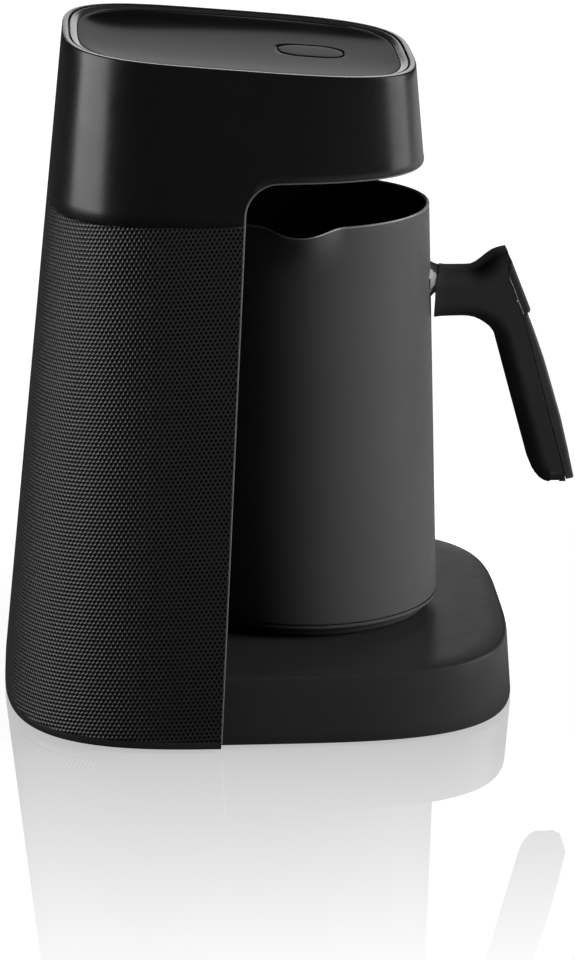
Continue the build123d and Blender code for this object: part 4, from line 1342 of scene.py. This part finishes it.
@dataclass
class TopControls:
    """Bezel, dished panel and start button on the sloping top."""

    shop: Workshop
    columns: int = 208
    bezel_inset: float = 2.5
    bezel_width: float = 2.4
    bezel_top: float = 0.15
    bezel_drop: float = 0.8
    bezel_bottom: float = 7.0
    panel_inset: float = 5.05
    panel_edge: float = 1.05
    panel_bottom: float = 4.2
    dish_depth: float = 1.15
    dish_rows: int = 18
    dish_power: float = 8.0
    rim_round: float = 0.3
    rim_drops: tuple[Pair, ...] = ((0.08, 0.22), (0.35, 0.3))
    button_x: float = 18.8
    button_half: Pair = (10.4, 9.8)
    button_corner: float = 7.6
    button_gap: float = 0.3
    button_top: float = 2.1
    button_rise: float = 0.12
    button_drops: tuple[Pair, ...] = (
        (0.2, 0.0), (0.4, 0.01), (0.6, 0.03), (0.8, 0.06), (0.92, 0.1), (0.97, 0.15),
        (0.99, 0.25), (1.0, 0.45),
    )
    stem_radius: float = 2.4
    stem_bottom: float = 12.0

    def bezel_section(self, angle: float) -> list[Vector]:
        """Section of the bezel: outer wall, sloping face, inner wall.

        Args:
            angle: Polar angle of the section, in radians.

        Returns:
            The section's points.
        """
        outer, inner = self.bezel_inset, self.bezel_inset + self.bezel_width
        top, low = self.bezel_top, self.bezel_top + self.bezel_drop
        marks = [
            (self.bezel_bottom, outer + 0.1), (top + 0.3, outer), (top + 0.06, outer + 0.08),
            (top + 0.04, outer + 0.35), (low - 0.1, inner - 0.3), (low + 0.02, inner - 0.08),
            (low + 0.25, inner), (self.bezel_bottom, inner),
        ]
        return [TOP.ring_point(CASING, angle, *mark) for mark in marks]

    def sunk(self, point: Vector) -> Vector:
        """Lay a point on the dish.

        Args:
            point: The point, at any height.

        Returns:
            The point over or under it on the dish.
        """
        level = Vector((point.x, point.y, TOP.level(point.x)))
        across, out = CASING.shares(level, self.panel_inset)
        rise = min(out, 1.0) ** self.dish_power
        depth = self.panel_edge + self.dish_depth * (1 - min(across, 1.0) ** 2) * (1 - rise)
        return Vector((point.x, point.y, TOP.level(point.x, depth)))

    def hole_point(self, angle: float, depth: float, gap: float = 0.0) -> Vector:
        """Point of the button's outline, or of its hole.

        Args:
            angle: Direction from the button's middle, in radians.
            depth: Depth under the sloping plane.
            gap: How far the outline is moved out.

        Returns:
            The point.
        """
        half_x, half_y = self.button_half
        along, across = rounded_point(angle, half_x + gap, half_y + gap, self.button_corner + gap)
        return TOP.point(self.button_x + along, across, depth)

    def panel_section(self, angle: float) -> list[Vector]:
        """Section of the panel: edge, dish, the hole's wall and the underside.

        Args:
            angle: Polar angle of the section, in radians.

        Returns:
            The section's points.
        """
        edge, low, gap = self.panel_edge, self.panel_bottom, self.button_gap + self.rim_round
        marks = [(low, 0.0), (edge + 0.3, 0.0), (edge + 0.05, 0.1), (edge, self.rim_round)]
        points = [
            TOP.ring_point(CASING, angle, depth, self.panel_inset + inset)
            for depth, inset in marks
        ]
        start, end = points.pop(), self.hole_point(angle, self.button_top, gap)
        for share in spaced(0.0, 1.0, self.dish_rows):
            eased = share * (0.45 + share * (1.65 - 1.1 * share))
            points.append(self.sunk(start.lerp(end, eased)))
        rim = points[-1]
        for drop, past in self.rim_drops:
            point = self.hole_point(angle, self.button_top, gap - past)
            points.append(Vector((point.x, point.y, rim.z - drop)))
        points.append(self.hole_point(angle, low, self.button_gap))
        return points

    def button_section(self, angle: float) -> list[Vector]:
        """Section of the button, from the middle of its face to the end of its stem.

        Args:
            angle: Direction from the button's middle, in radians.

        Returns:
            The section's points.
        """
        middle = self.sunk(TOP.point(self.button_x, 0, self.button_top))
        middle.z += self.button_rise
        points = [middle]
        edge = self.hole_point(angle, self.button_top)
        for share, drop in self.button_drops:
            point = self.sunk(middle.lerp(edge, share))
            point.z += self.button_rise - drop
            points.append(point)
        low, stem, end = self.panel_bottom, self.stem_radius, self.stem_bottom
        points.append(self.hole_point(angle, low))
        for depth, radius in ((low, stem), (end, stem), (end, 0.0)):
            along, across = radius * math.cos(angle), radius * math.sin(angle)
            points.append(TOP.point(self.button_x + along, across, depth))
        return points

    def build(self) -> None:
        """Make the bezel, the panel and the button."""
        for section, closed, name, body, slot, node in (
            (self.bezel_section, True, "top_bezel_ring", Body.MACHINE, "bezel_black", "top_bezel"),
            (self.panel_section, True, "top_dish", Body.MACHINE, "panel_grey", "top_panel"),
            (self.button_section, False, "button_cap", Body.BUTTON, "button_grey", "start_button"),
        ):
            skin = Skin.wrapped([section(turn) for turn in turns(self.columns)], closed)
            self.shop.dress(skin, name, body, slot, node)


# ---------------------------------------------------------------------------
# Pot


@dataclass
class Vessel:
    """Tapered pot with its skirt and pulled spout."""

    shop: Workshop
    columns: int = 288
    axis_x: float = 17.6
    bottom: float = 26.4
    rim: float = 158.4
    bottom_radius: float = 43.05
    rim_radius: float = 39.5
    wall: float = 1.2
    floor: float = 40.0
    floor_curve: float = 4.0
    floor_radii: tuple[float, ...] = (0.0, 12.0, 24.0, 33.0)
    band: float = 1.6
    lip: float = 0.5
    lip_round: float = 0.4
    lip_step: Pair = (0.12, 0.14)
    inner_rows: int = 11
    spout_rows: int = 16
    outer_rows: int = 19
    spout_angle: float = -96.3
    spout_reach: float = 10.2
    spout_half: float = 21.0
    spout_power: float = 2.2
    spout_low: float = 133.0
    spout_rise: float = 4.4
    spout_dip: float = 1.0
    edge_radius: float = 0.38
    edge_inset: float = 0.32
    edge_sides: int = 8

    def radius(self, height: float) -> float:
        """Outside radius of the plain wall at a height."""
        share = (height - self.bottom) / (self.rim - self.bottom)
        return lerp(self.bottom_radius, self.rim_radius, share)

    def mark(self, height: float, out: float = 0.0, up: float = 0.0) -> Pair:
        """Radius and height of a place beside the plain wall at a height."""
        return self.radius(height) + out, height + up

    def pull(self, angle: float, height: float) -> Pair:
        """How far the spout moves the wall out and down.

        Args:
            angle: Angle round the pot's axis, in radians.
            height: Height on the wall.

        Returns:
            The move outwards and the move downwards.
        """
        away = (math.degrees(angle) - self.spout_angle + 180) % 360 - 180
        if height <= self.spout_low or abs(away) >= self.spout_half:
            return 0.0, 0.0
        rise = ((height - self.spout_low) / (self.rim - self.spout_low)) ** self.spout_rise
        window = math.cos(math.pi / 2 * away / self.spout_half) ** self.spout_power
        return rise * self.spout_reach * window, rise * self.spout_dip * window

    def profile(self) -> list[Pair]:
        """Section of the floor and the wall, in one run.

        Returns:
            Radius and height of each point, from the middle inside round to the middle
            underneath.
        """
        wall, curve, top, low = self.wall, self.floor_curve, self.rim, self.bottom + self.band
        inside, lip = self.floor + wall, top - self.lip
        side, drop = self.lip_step
        marks = [(radius, inside) for radius in self.floor_radii]
        marks += [self.mark(inside, -wall - curve), self.mark(inside, -wall - 1.2, 1.2)]
        heights = spaced(inside + curve, self.spout_low, self.inner_rows)
        heights += spaced(self.spout_low, lip, self.spout_rows)[1:]
        marks += [self.mark(height, -wall) for height in heights]
        marks += [self.mark(top, side - wall, -drop), self.mark(top, self.lip_round - wall)]
        marks += [self.mark(top, -self.lip_round), self.mark(top, -side, -drop)]
        heights = spaced(lip, self.spout_low, self.spout_rows)
        heights += spaced(self.spout_low, low + 0.25, self.outer_rows)[1:]
        marks += [self.mark(height) for height in heights]
        marks += [self.mark(low, -0.25, 0.1), self.mark(low, -0.25, -0.1)]
        marks += [self.mark(low, 0.05, -0.3), self.mark(self.bottom, 0.0, 0.3)]
        marks += [self.mark(self.bottom, -0.3), self.mark(self.bottom, -wall)]
        marks += [self.mark(self.floor, -wall), (20.0, self.floor), (0.0, self.floor)]
        return marks

    def place(self, angle: float, radius: float, height: float) -> Vector:
        """Point of the wall with the spout pulled in it.

        Args:
            angle: Angle round the pot's axis, in radians.
            radius: Radius of the plain wall there.
            height: Height of the plain wall there.

        Returns:
            The point.
        """
        out, down = self.pull(angle, min(height, self.rim))
        x = self.axis_x + (radius + out) * math.cos(angle)
        return Vector((x, (radius + out) * math.sin(angle), height - down))

    def turned(self, marks: Sequence[Pair], closed: bool) -> Skin:
        """Turn a section round the pot's axis."""
        sections = [[self.place(turn, *mark) for mark in marks] for turn in turns(self.columns)]
        return Skin.wrapped(sections, closed)

    def faces_in(self, face: bpy.types.MeshPolygon) -> bool:
        """Tell whether a face is on the inside, below the rim.

        Args:
            face: The face, in metres.

        Returns:
            Whether it is.
        """
        out = Vector((face.center.x - self.axis_x * MM, face.center.y)).normalized()
        inward = out.dot(face.normal.xy) < -0.2
        on_floor = face.normal.z > 0.5 and face.center.z < (self.floor + 5) * MM
        return (inward and face.center.z < (self.rim - 0.4) * MM) or on_floor

    def build(self) -> None:
        """Make the vessel and the half-metallic bead round its rim, pale to paint the rim's
        highlight.
        """
        skin = self.turned(self.profile(), closed=False)
        piece = self.shop.dress(skin, "pot_body", Body.POT, "pot_coating", "pot_vessel", crease=40)
        self.shop.trim(piece, "pot_inside", self.faces_in)
        reach, high = self.radius(self.rim) - self.edge_inset, self.rim - self.edge_inset / 2
        marks = [
            (reach + self.edge_radius * math.cos(turn), high + self.edge_radius * math.sin(turn))
            for turn in turns(self.edge_sides)
        ]
        skin = self.turned(marks, closed=True)
        self.shop.dress(skin, "rim_edge", Body.POT, "pot_coating", crease=80, finish="rim_painted_highlight")


@dataclass
class Handle:
    """Well rounded grip with its thumb rest, the cover down its outside and its foot on the pot."""

    shop: Workshop
    steps: int = 7
    half_width: float = 9.5
    rounding: float = 5.0
    flat: float = 0.8
    top: float = 135.75
    underside: float = 120.85
    bottom: float = 63.85
    pot_x: float = 17.6
    pot_radius: float = 43.76
    pot_lean: float = -0.02689
    wall_gap: float = 1.9
    top_places: tuple[float, ...] = (60.2, 61.4, 62.8, 65.0, 67.5, 69.8)
    crest: tuple[Pair, ...] = (
        (71.6, 135.9), (73.2, 136.7), (74.9, 138.0), (76.6, 139.4), (78.2, 140.5), (79.9, 141.2),
        (81.4, 141.6),
    )
    peak: Pair = (82.75, 141.85)
    seam_top: Pair = (82.3, 134.8)
    seam_step: Pair = (87.4, 121.6)
    seam_end: Pair = (102.9, 63.85)
    heel_places: tuple[float, ...] = (100.8, 100.5, 97.5, 97.2)
    inner_curve: tuple[Pair, ...] = (
        (95.6, 64.3), (94.1, 65.3), (92.7, 66.9), (91.6, 68.7), (90.8, 70.6), (88.0, 80.9),
        (85.1, 91.4), (82.3, 101.7), (79.5, 112.0), (78.9, 113.9), (77.9, 115.7), (76.7, 117.2),
        (75.2, 118.4), (73.5, 119.5), (71.7, 120.3), (69.8, 120.7), (67.9, 120.85),
    )
    under_places: tuple[float, ...] = (65.5, 63.5, 62.0, 60.8)
    seam_share: float = 0.96
    peak_slide: Pair = (0.13, 0.99)
    heel_slide: Pair = (0.26, 0.966)
    least_step: float = 0.02
    notch: float = 1.0
    strip_edge: float = 1.3
    near_gap: float = 0.95
    near_lean: float = 0.12
    far_turn: float = 0.13
    end_length: float = 5.0
    end_reach: float = 66.0
    end_bottom: float = 112.0
    cuts_x: tuple[float, ...] = (59.8, 60.2, 60.7, 61.4, 62.2, 63.2, 64.6)
    cuts_z: tuple[float, ...] = (124.0, 127.0, 129.5, 132.0)
    flare: float = 0.35
    flare_length: float = 1.6
    flare_across: float = 0.8
    thumb_x: float = 82.95
    thumb_slope: float = 0.392
    thumb_end: Pair = (89.95, 123.5)
    thumb_shares: tuple[float, ...] = (0.15, 0.3, 0.45, 0.6, 0.75, 0.9, 1.0)
    cover_line: tuple[Pair, ...] = (
        (89.25, 121.7), (91.0, 117.1), (94.5, 107.3), (97.6, 96.9), (100.6, 86.5), (103.1, 76.0),
    )
    cover_slope: float = 0.26
    foot_low: float = 129.0
    foot_top: float = 135.7
    foot_half: float = 9.45
    foot_corner: float = 4.8
    foot_grow: float = 2.2
    foot_across: float = 0.3
    foot_start: float = 0.5
    foot_sink: float = 0.4
    foot_rows: int = 8
    foot_columns: int = 64
    lit_from: float = 56.9
    line: tuple[Pair, ...] = ((82.5, 134.6), (84.0, 131.0), (85.7, 126.4), (87.4, 122.0))
    line_shift: float = 0.15
    line_radius: float = 0.13

    def wall(self, height: float) -> float:
        """Outside radius of the pot's wall at a height."""
        return self.pot_radius + self.pot_lean * height

    def surface(self, across: float, height: float) -> float:
        """Where the pot's wall stands at a place across the width and a height."""
        return self.pot_x + math.sqrt(max(self.wall(height) ** 2 - across**2, 0.0))

    def face(self, height: float) -> float:
        """Where the stub's end face stands at a height."""
        return self.pot_x + self.wall(height) + self.wall_gap

    def side(self) -> tuple[list[Pair], list[Pair], list[Pair]]:
        """Side view of the body.

        Returns:
            Its points along the top, down the seam, and back up the inside.
        """
        top, low, under = self.top, self.bottom, self.underside
        over = [(x, top) for x in (self.face(top), *self.top_places)]
        seam = [self.peak, self.seam_top, self.seam_step, self.seam_end]
        inner = [*((x, low) for x in self.heel_places), *self.inner_curve]
        inner += [(x, under) for x in (*self.under_places, self.face(under))]
        return [*over, *self.crest], seam, inner

    def moved_in(self, inset: float) -> list[Pair]:
        """Side view with all but its seam and end face moved in.

        Args:
            inset: How far it is moved in.

        Returns:
            The outline, with as many points as before.
        """
        top, seam, inner = self.side()
        slide = inset / self.seam_share
        back, down = self.peak_slide
        found = self.offset([*top, seam[0]], inset)[:-1]
        found.append((self.peak[0] - back * slide, self.peak[1] - down * slide))
        for index in range(len(found) - 2, -1, -1):
            x, z = found[index]
            found[index] = (min(x, found[index + 1][0] - self.least_step), z)
        found += seam[1:3]
        back, up = self.heel_slide
        heel = [(self.seam_end[0] - back * slide, self.seam_end[1] + up * slide)]
        for x, z in self.offset([seam[3], *inner], inset)[1:]:
            heel.append((min(x, heel[-1][0] - self.least_step), z))
        if inset < self.notch:
            for index in (2, 3):
                heel[index] = (heel[index][0], heel[index][1] + self.notch)
        return found + heel

    def offset(self, line: Sequence[Pair], inset: float) -> list[Pair]:
        """Move a line to its right.

        Args:
            line: Points of the line.
            inset: How far it is moved.

        Returns:
            The moved points.
        """
        found = []
        for index, (x, z) in enumerate(line):
            before, after = line[max(index - 1, 0)], line[min(index + 1, len(line) - 1)]
            along = Vector((after[0] - before[0], after[1] - before[1])).normalized()
            found.append((x + along.y * inset, z - along.x * inset))
        return found

    def rows(self, edge: float) -> list[Pair]:
        """Places across the width, each with how far a rounding moves the outline in.

        Args:
            edge: Radius of the rounding.

        Returns:
            The places and their insets, from the near side to the far side.
        """
        near = []
        for turn in spaced(0.0, math.pi / 2, self.steps):
            across = edge * (1 - math.cos(turn)) - self.half_width
            near.append((across, edge * (1 - math.sin(turn))))
        return near + [(-across, inset) for across, inset in reversed(near)]

    def end(self, across: float, height: float) -> float:
        """Where the stub's end stands: along the wall on one side, straight on the other.

        Args:
            across: Place across the width.
            height: Height of the place.

        Returns:
            Its place along the machine.
        """
        gap = self.near_gap + self.near_lean * max(height - self.underside, 0.0)
        if across < 0:
            return self.surface(across, height) + gap
        return self.pot_x + self.wall(height) + gap + self.far_turn * across

    def spread(self, point: Vector) -> Vector:
        """Widen the stub's end towards the pot and lay it along the wall.

        Args:
            point: Point of the body.

        Returns:
            Where it goes.
        """
        if point.z < self.end_bottom or point.x > self.end_reach:
            return point
        face = self.face(point.z)
        away = max(point.x - face, 0.0)
        grow = self.flare * math.exp(-away / self.flare_length)
        middle, reach = (self.top + self.underside) / 2, (self.top - self.underside) / 2
        height = point.z + grow * (point.z - middle) / reach
        across = point.y * (1 + self.flare_across * grow / self.half_width)
        share = max(1 - away / self.end_length, 0.0)
        return Vector((point.x + share * (self.end(across, height) - face), across, height))

    def limit(self, across: float) -> float:
        """How far the round ends of the front view come in at a place across the width."""
        past = max(abs(across) - (self.half_width - self.rounding), 0.0)
        return self.rounding - math.sqrt(max(self.rounding**2 - past**2, 0.0))

    def thumb_outline(self, across: float, inset: float) -> list[Pair]:
        """Side view of the thumb rest.

        Args:
            across: Place across the width.
            inset: How far its outside is moved in.

        Returns:
            The outline's points.
        """
        high = self.peak[1] - self.limit(across)
        outer = self.thumb_x + (self.peak[1] - high) * self.thumb_slope
        end_x, end_z = self.thumb_end
        line = [(outer - 0.3 - inset, high - 0.1), (outer - inset, high - 0.5)]
        for share in self.thumb_shares:
            line.append((lerp(outer, end_x, share) - inset, lerp(high - 0.5, end_z, share)))
        line += [(89.7 - inset, 122.5), (87.7, 122.0)]
        return line + [(82.25, min(136.3, high - 1.5)), (82.6, high - 0.4)]

    def cover_outline(self, across: float, inset: float) -> list[Pair]:
        """Side view of the cover strip.

        Args:
            across: Place across the width.
            inset: How far its outside is moved in.

        Returns:
            The outline's points.
        """
        low = self.bottom + self.limit(across)
        shift = (low - self.bottom) * self.cover_slope
        line = [(x - inset, z) for x, z in self.cover_line]
        line += [(x - inset - shift, low + rise) for x, rise in ((105.6, 0.9), (105.3, 0.4))]
        return line + [(103.1 - shift, low), (87.6, 121.5)]

    def long_skin(
        self, rows: Sequence[Pair], outline: Callable[[float, float], list[Pair]]
    ) -> Skin:
        """Join side views across the width.

        Args:
            rows: Places across the width, each with its inset.
            outline: Gives the side view at a place across and an inset.

        Returns:
            The skin.
        """
        return Skin.stack([
            [Vector((x, across, z)) for x, z in outline(across, inset)] for across, inset in rows
        ])

    def build_body(self) -> None:
        """Make the grip's body."""
        side = self.rounding + self.flat
        rows = [(-self.half_width, side), *self.rows(self.rounding), (self.half_width, side)]
        skin = self.long_skin(rows, lambda _, inset: self.moved_in(inset))
        for x in self.cuts_x:
            skin.slice((x, 0, 0), (1, 0, 0))
        for z in self.cuts_z:
            skin.slice((0, 0, z), (0, 0, 1))
        skin.bend(self.spread)
        self.shop.dress(skin, "grip_body", Body.POT, "handle_black", "handle_body", crease=40)

    def build_strips(self) -> None:
        """Make the thumb rest and the cover strip."""
        for outline, name, slot, node in (
            (self.thumb_outline, "thumb_insert", "thumb_soft", "thumb_rest"),
            (self.cover_outline, "grip_cover", "cover_black", "handle_cover"),
        ):
            skin = self.long_skin(self.rows(self.strip_edge), outline)
            self.shop.dress(skin, name, Body.POT, slot, node, crease=40)

    def build_foot(self) -> None:
        """Make the foot that joins the stub's upper part to the pot's wall, with a painted
        highlight on its sides.
        """
        middle, reach = (self.foot_low + self.foot_top) / 2, (self.foot_top - self.foot_low) / 2
        rings = []
        for share in spaced(0.0, 1.0, self.foot_rows):
            grow = self.foot_grow * share**2
            half, ring = self.foot_half + self.foot_across * grow, []
            for turn in turns(self.foot_columns):
                across, up = rounded_point(turn, half, reach + grow, self.foot_corner)
                z = middle + up
                start = self.end(across, z) + self.foot_start
                x = lerp(start, self.surface(across, z) - self.foot_sink, share)
                ring.append(Vector((x, across, z)))
            rings.append(ring)
        piece = self.shop.dress(
            Skin.stack(rings), "grip_foot", Body.POT, "handle_black", "handle_bracket", crease=50
        )
        # The foot's sides away from the wall take a pale finish: a painted highlight.
        self.shop.trim(piece, "foot_edge", self.faces_with_painted_highlight)

    def faces_with_painted_highlight(self, face: bpy.types.MeshPolygon) -> bool:
        """Tell whether a face of the foot is on its sides, clear of the pot's wall, where the
        highlight is painted.
        """
        sideways = abs(face.normal.z) < 0.75 and abs(face.normal.y) > 0.3
        return sideways and face.center.x > self.lit_from * MM

    def build_lines(self) -> None:
        """Make the fine pale line where the thumb rest meets the body, on each side, a painted
        highlight.
        """
        for name, side in (("near", -1), ("far", 1)):
            path = [Vector((x + self.line_shift, side * self.half_width, z)) for x, z in self.line]
            skin = bead(path, lambda point: Vector((0.0, point.y, 0.0)), self.line_radius)
            self.shop.dress(
                skin, f"thumb_line_{name}", Body.POT, "cover_black", crease=80, finish="painted_highlight_line"
            )

    def build(self) -> None:
        """Make the grip, its strips, its foot and its lines."""
        self.build_body()
        self.build_strips()
        self.build_foot()
        self.build_lines()


# ---------------------------------------------------------------------------
# Studio


@dataclass(frozen=True)
class Softbox:
    """A rectangular lamp that faces a point."""

    name: str
    place: Triple
    target: Triple
    size: Pair
    power: float
    glossy: bool = True
    roll: float = 0.0

    def build(self) -> None:
        """Make the lamp."""
        light = bpy.data.lights.new(self.name, "AREA")
        light.shape = "RECTANGLE"
        light.size, light.size_y = self.size
        light.energy = self.power
        lamp = placed(self.name, light)
        lamp.location = self.place
        aim = Vector(self.target) - Vector(self.place)
        roll = Quaternion((0, 0, 1), math.radians(self.roll))
        lamp.rotation_euler = (aim.to_track_quat("-Z", "Y") @ roll).to_euler()
        lamp.visible_camera = False
        lamp.visible_glossy = self.glossy


@dataclass
class Studio:
    """Pale floor, soft lamps, backdrop and camera, in metres."""

    floor_radius: float = 1.7
    floor_sides: int = 128
    mirror_reach: float = 0.285
    mirror_slope: float = 2.17
    mirror_most: float = 0.45
    shade_share: float = 0.2
    shade_span: Pair = (0.3, 0.7)
    floor_white: float = 1.12
    floor_tone: Triple = (0.8, 0.8, 0.8)
    glossy_floor: float = 0.04
    near_right: Triple = (0.08, 0.14, 0.4)
    far_right: Triple = (0.4, 0.9, 0.35)
    bounce_tone: Triple = (0.35, 0.35, 0.35)
    ambient: float = 0.04
    front_fill: float = 0.09
    side_fill: float = 0.015
    front_span: Pair = (0.1, -0.6)
    lens: float = 152.58
    sensor: float = 36.0
    clip: Pair = (0.05, 20.0)
    camera_place: Triple = (-0.062158, -1.287475, 0.448782)
    camera_right: Triple = (0.99838, -0.05683, 0.0)
    camera_up: Triple = (0.01624, 0.28529, 0.95830)
    camera_back: Triple = (-0.05446, -0.95675, 0.28576)
    lamps: tuple[Softbox, ...] = (
        Softbox("left_box", (-1.5, -0.05, 0.55), (0, -0.05, 0.2), (1.5, 1.3), 24.0),
        Softbox("right_box", (1.48, 0.22, 0.5), (0, -0.05, 0.15), (1.05, 1.3), 9.8),
        Softbox("fill_box", (1.4, -0.38, 0.5), (0, -0.05, 0.1), (0.7, 1.0), 39.0, glossy=False),
        Softbox("back_card", (0.02, 2.2, 0.349), (0.02, 0, 0.349), (0.84, 0.57), 1.85, roll=-18.0),
    )

    def build_camera(self) -> None:
        """Set the camera at its place and make it the scene's own."""
        data = bpy.data.cameras.new("camera")
        data.lens = self.lens
        data.sensor_width = self.sensor
        data.sensor_fit = "AUTO"
        data.clip_start, data.clip_end = self.clip
        camera = placed("camera", data)
        turn = Matrix((self.camera_right, self.camera_up, self.camera_back)).transposed()
        camera.matrix_world = Matrix.Translation(self.camera_place) @ turn.to_4x4()
        bpy.context.scene.camera = camera

    def build_world(self) -> None:
        """White to the camera; to glossy surfaces dim, and a little paler on the near side."""
        world = bpy.data.worlds.new("studio")
        bpy.context.scene.world = world
        world.use_nodes = True
        nodes = Nodes(world.node_tree)
        aim = nodes.add("ShaderNodeTexCoord").outputs["Generated"]
        parts = nodes.add("ShaderNodeSeparateXYZ", {0: aim}).outputs
        nearness = nodes.ramp(parts["Y"], *self.front_span, 0.0, 1.0, "SMOOTHSTEP")
        glossy = nodes.mix(nearness, self.side_fill, self.front_fill)
        path = nodes.add("ShaderNodeLightPath").outputs
        strength = nodes.mix(path["Is Glossy Ray"], self.ambient, glossy)
        sharp = nodes.math("MAXIMUM", path["Is Camera Ray"], path["Is Singular Ray"])
        seen = nodes.math("MAXIMUM", sharp, path["Is Transmission Ray"])
        inputs = {"Color": (1, 1, 1, 1), "Strength": nodes.mix(seen, strength, 1.0)}
        nodes.feed(nodes.tree.nodes["Background"], inputs)

    def build_floor(self) -> None:
        """Lay the floor: white to the camera, with the shadow and a short mirror image."""
        mesh = bmesh.new()
        bmesh.ops.create_circle(
            mesh, cap_ends=True, segments=self.floor_sides, radius=self.floor_radius
        )
        floor = settled("floor", mesh)
        shader = Shader("pale_floor")

        def surface(kind: str, **inputs: Any) -> Any:
            """Plain surface of a kind."""
            return shader.add(f"ShaderNode{kind}", inputs).outputs[0]

        parts = shader.add("ShaderNodeSeparateXYZ", {0: shader.place()}).outputs
        path = shader.add("ShaderNodeLightPath").outputs
        far = shader.math("MAXIMUM", *(shader.math("ABSOLUTE", parts[axis]) for axis in "XY"))
        near = shader.math("SUBTRACT", self.mirror_reach, far)
        clear = shader.math("MULTIPLY", near, self.mirror_slope, clamp=True)
        mirror = shader.math("MINIMUM", clear, self.mirror_most)
        lit: Any = self.glossy_floor
        for start, end, rise in (self.near_right, self.far_right):
            lit = shader.math("ADD", lit, shader.ramp(parts["X"], start, end, 0.0, rise))
        matte = surface("BsdfDiffuse", Color=rgba(self.floor_tone))
        white = surface("Emission", Strength=self.floor_white)
        image = surface("BsdfAnisotropic", Roughness=0.0, Color=(1, 1, 1, 1))
        soft = surface("BsdfDiffuse", Color=rgba(self.bounce_tone))
        shade = shader.ramp(far, *self.shade_span, self.shade_share, 0.0)
        mirrored = shader.layer(mirror, shader.layer(shade, white, matte), image)
        bounce = shader.layer(path["Is Glossy Ray"], soft, surface("Emission", Strength=lit))
        seen = shader.math("MAXIMUM", path["Is Camera Ray"], path["Is Transmission Ray"])
        output = shader.tree.nodes["Material Output"]
        shader.feed(output, {"Surface": shader.layer(seen, bounce, mirrored)})
        shader.tree.nodes.remove(shader.surface)
        floor.data.materials.append(shader.material)
        floor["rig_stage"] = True

    def build(self) -> None:
        """Make the whole studio."""
        self.build_camera()
        self.build_world()
        self.build_floor()
        for lamp in self.lamps:
            lamp.build()
        bpy.context.scene.view_settings.view_transform = "Standard"


def main() -> None:
    """Load the frame, build every sub-assembly round it, and set up the studio."""
    logging.basicConfig(level=logging.INFO, format="%(name)s: %(message)s")
    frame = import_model()
    shop = Workshop(frame)
    for part in (Platform, Column, Head, OpeningEdge, TopControls, Vessel, Handle):
        part(shop).build()
    hidden = {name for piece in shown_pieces() for name in piece.get("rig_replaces", [])}
    shop.dress_nodes(hidden)
    Studio().build()


if __name__ == "__main__":
    main()
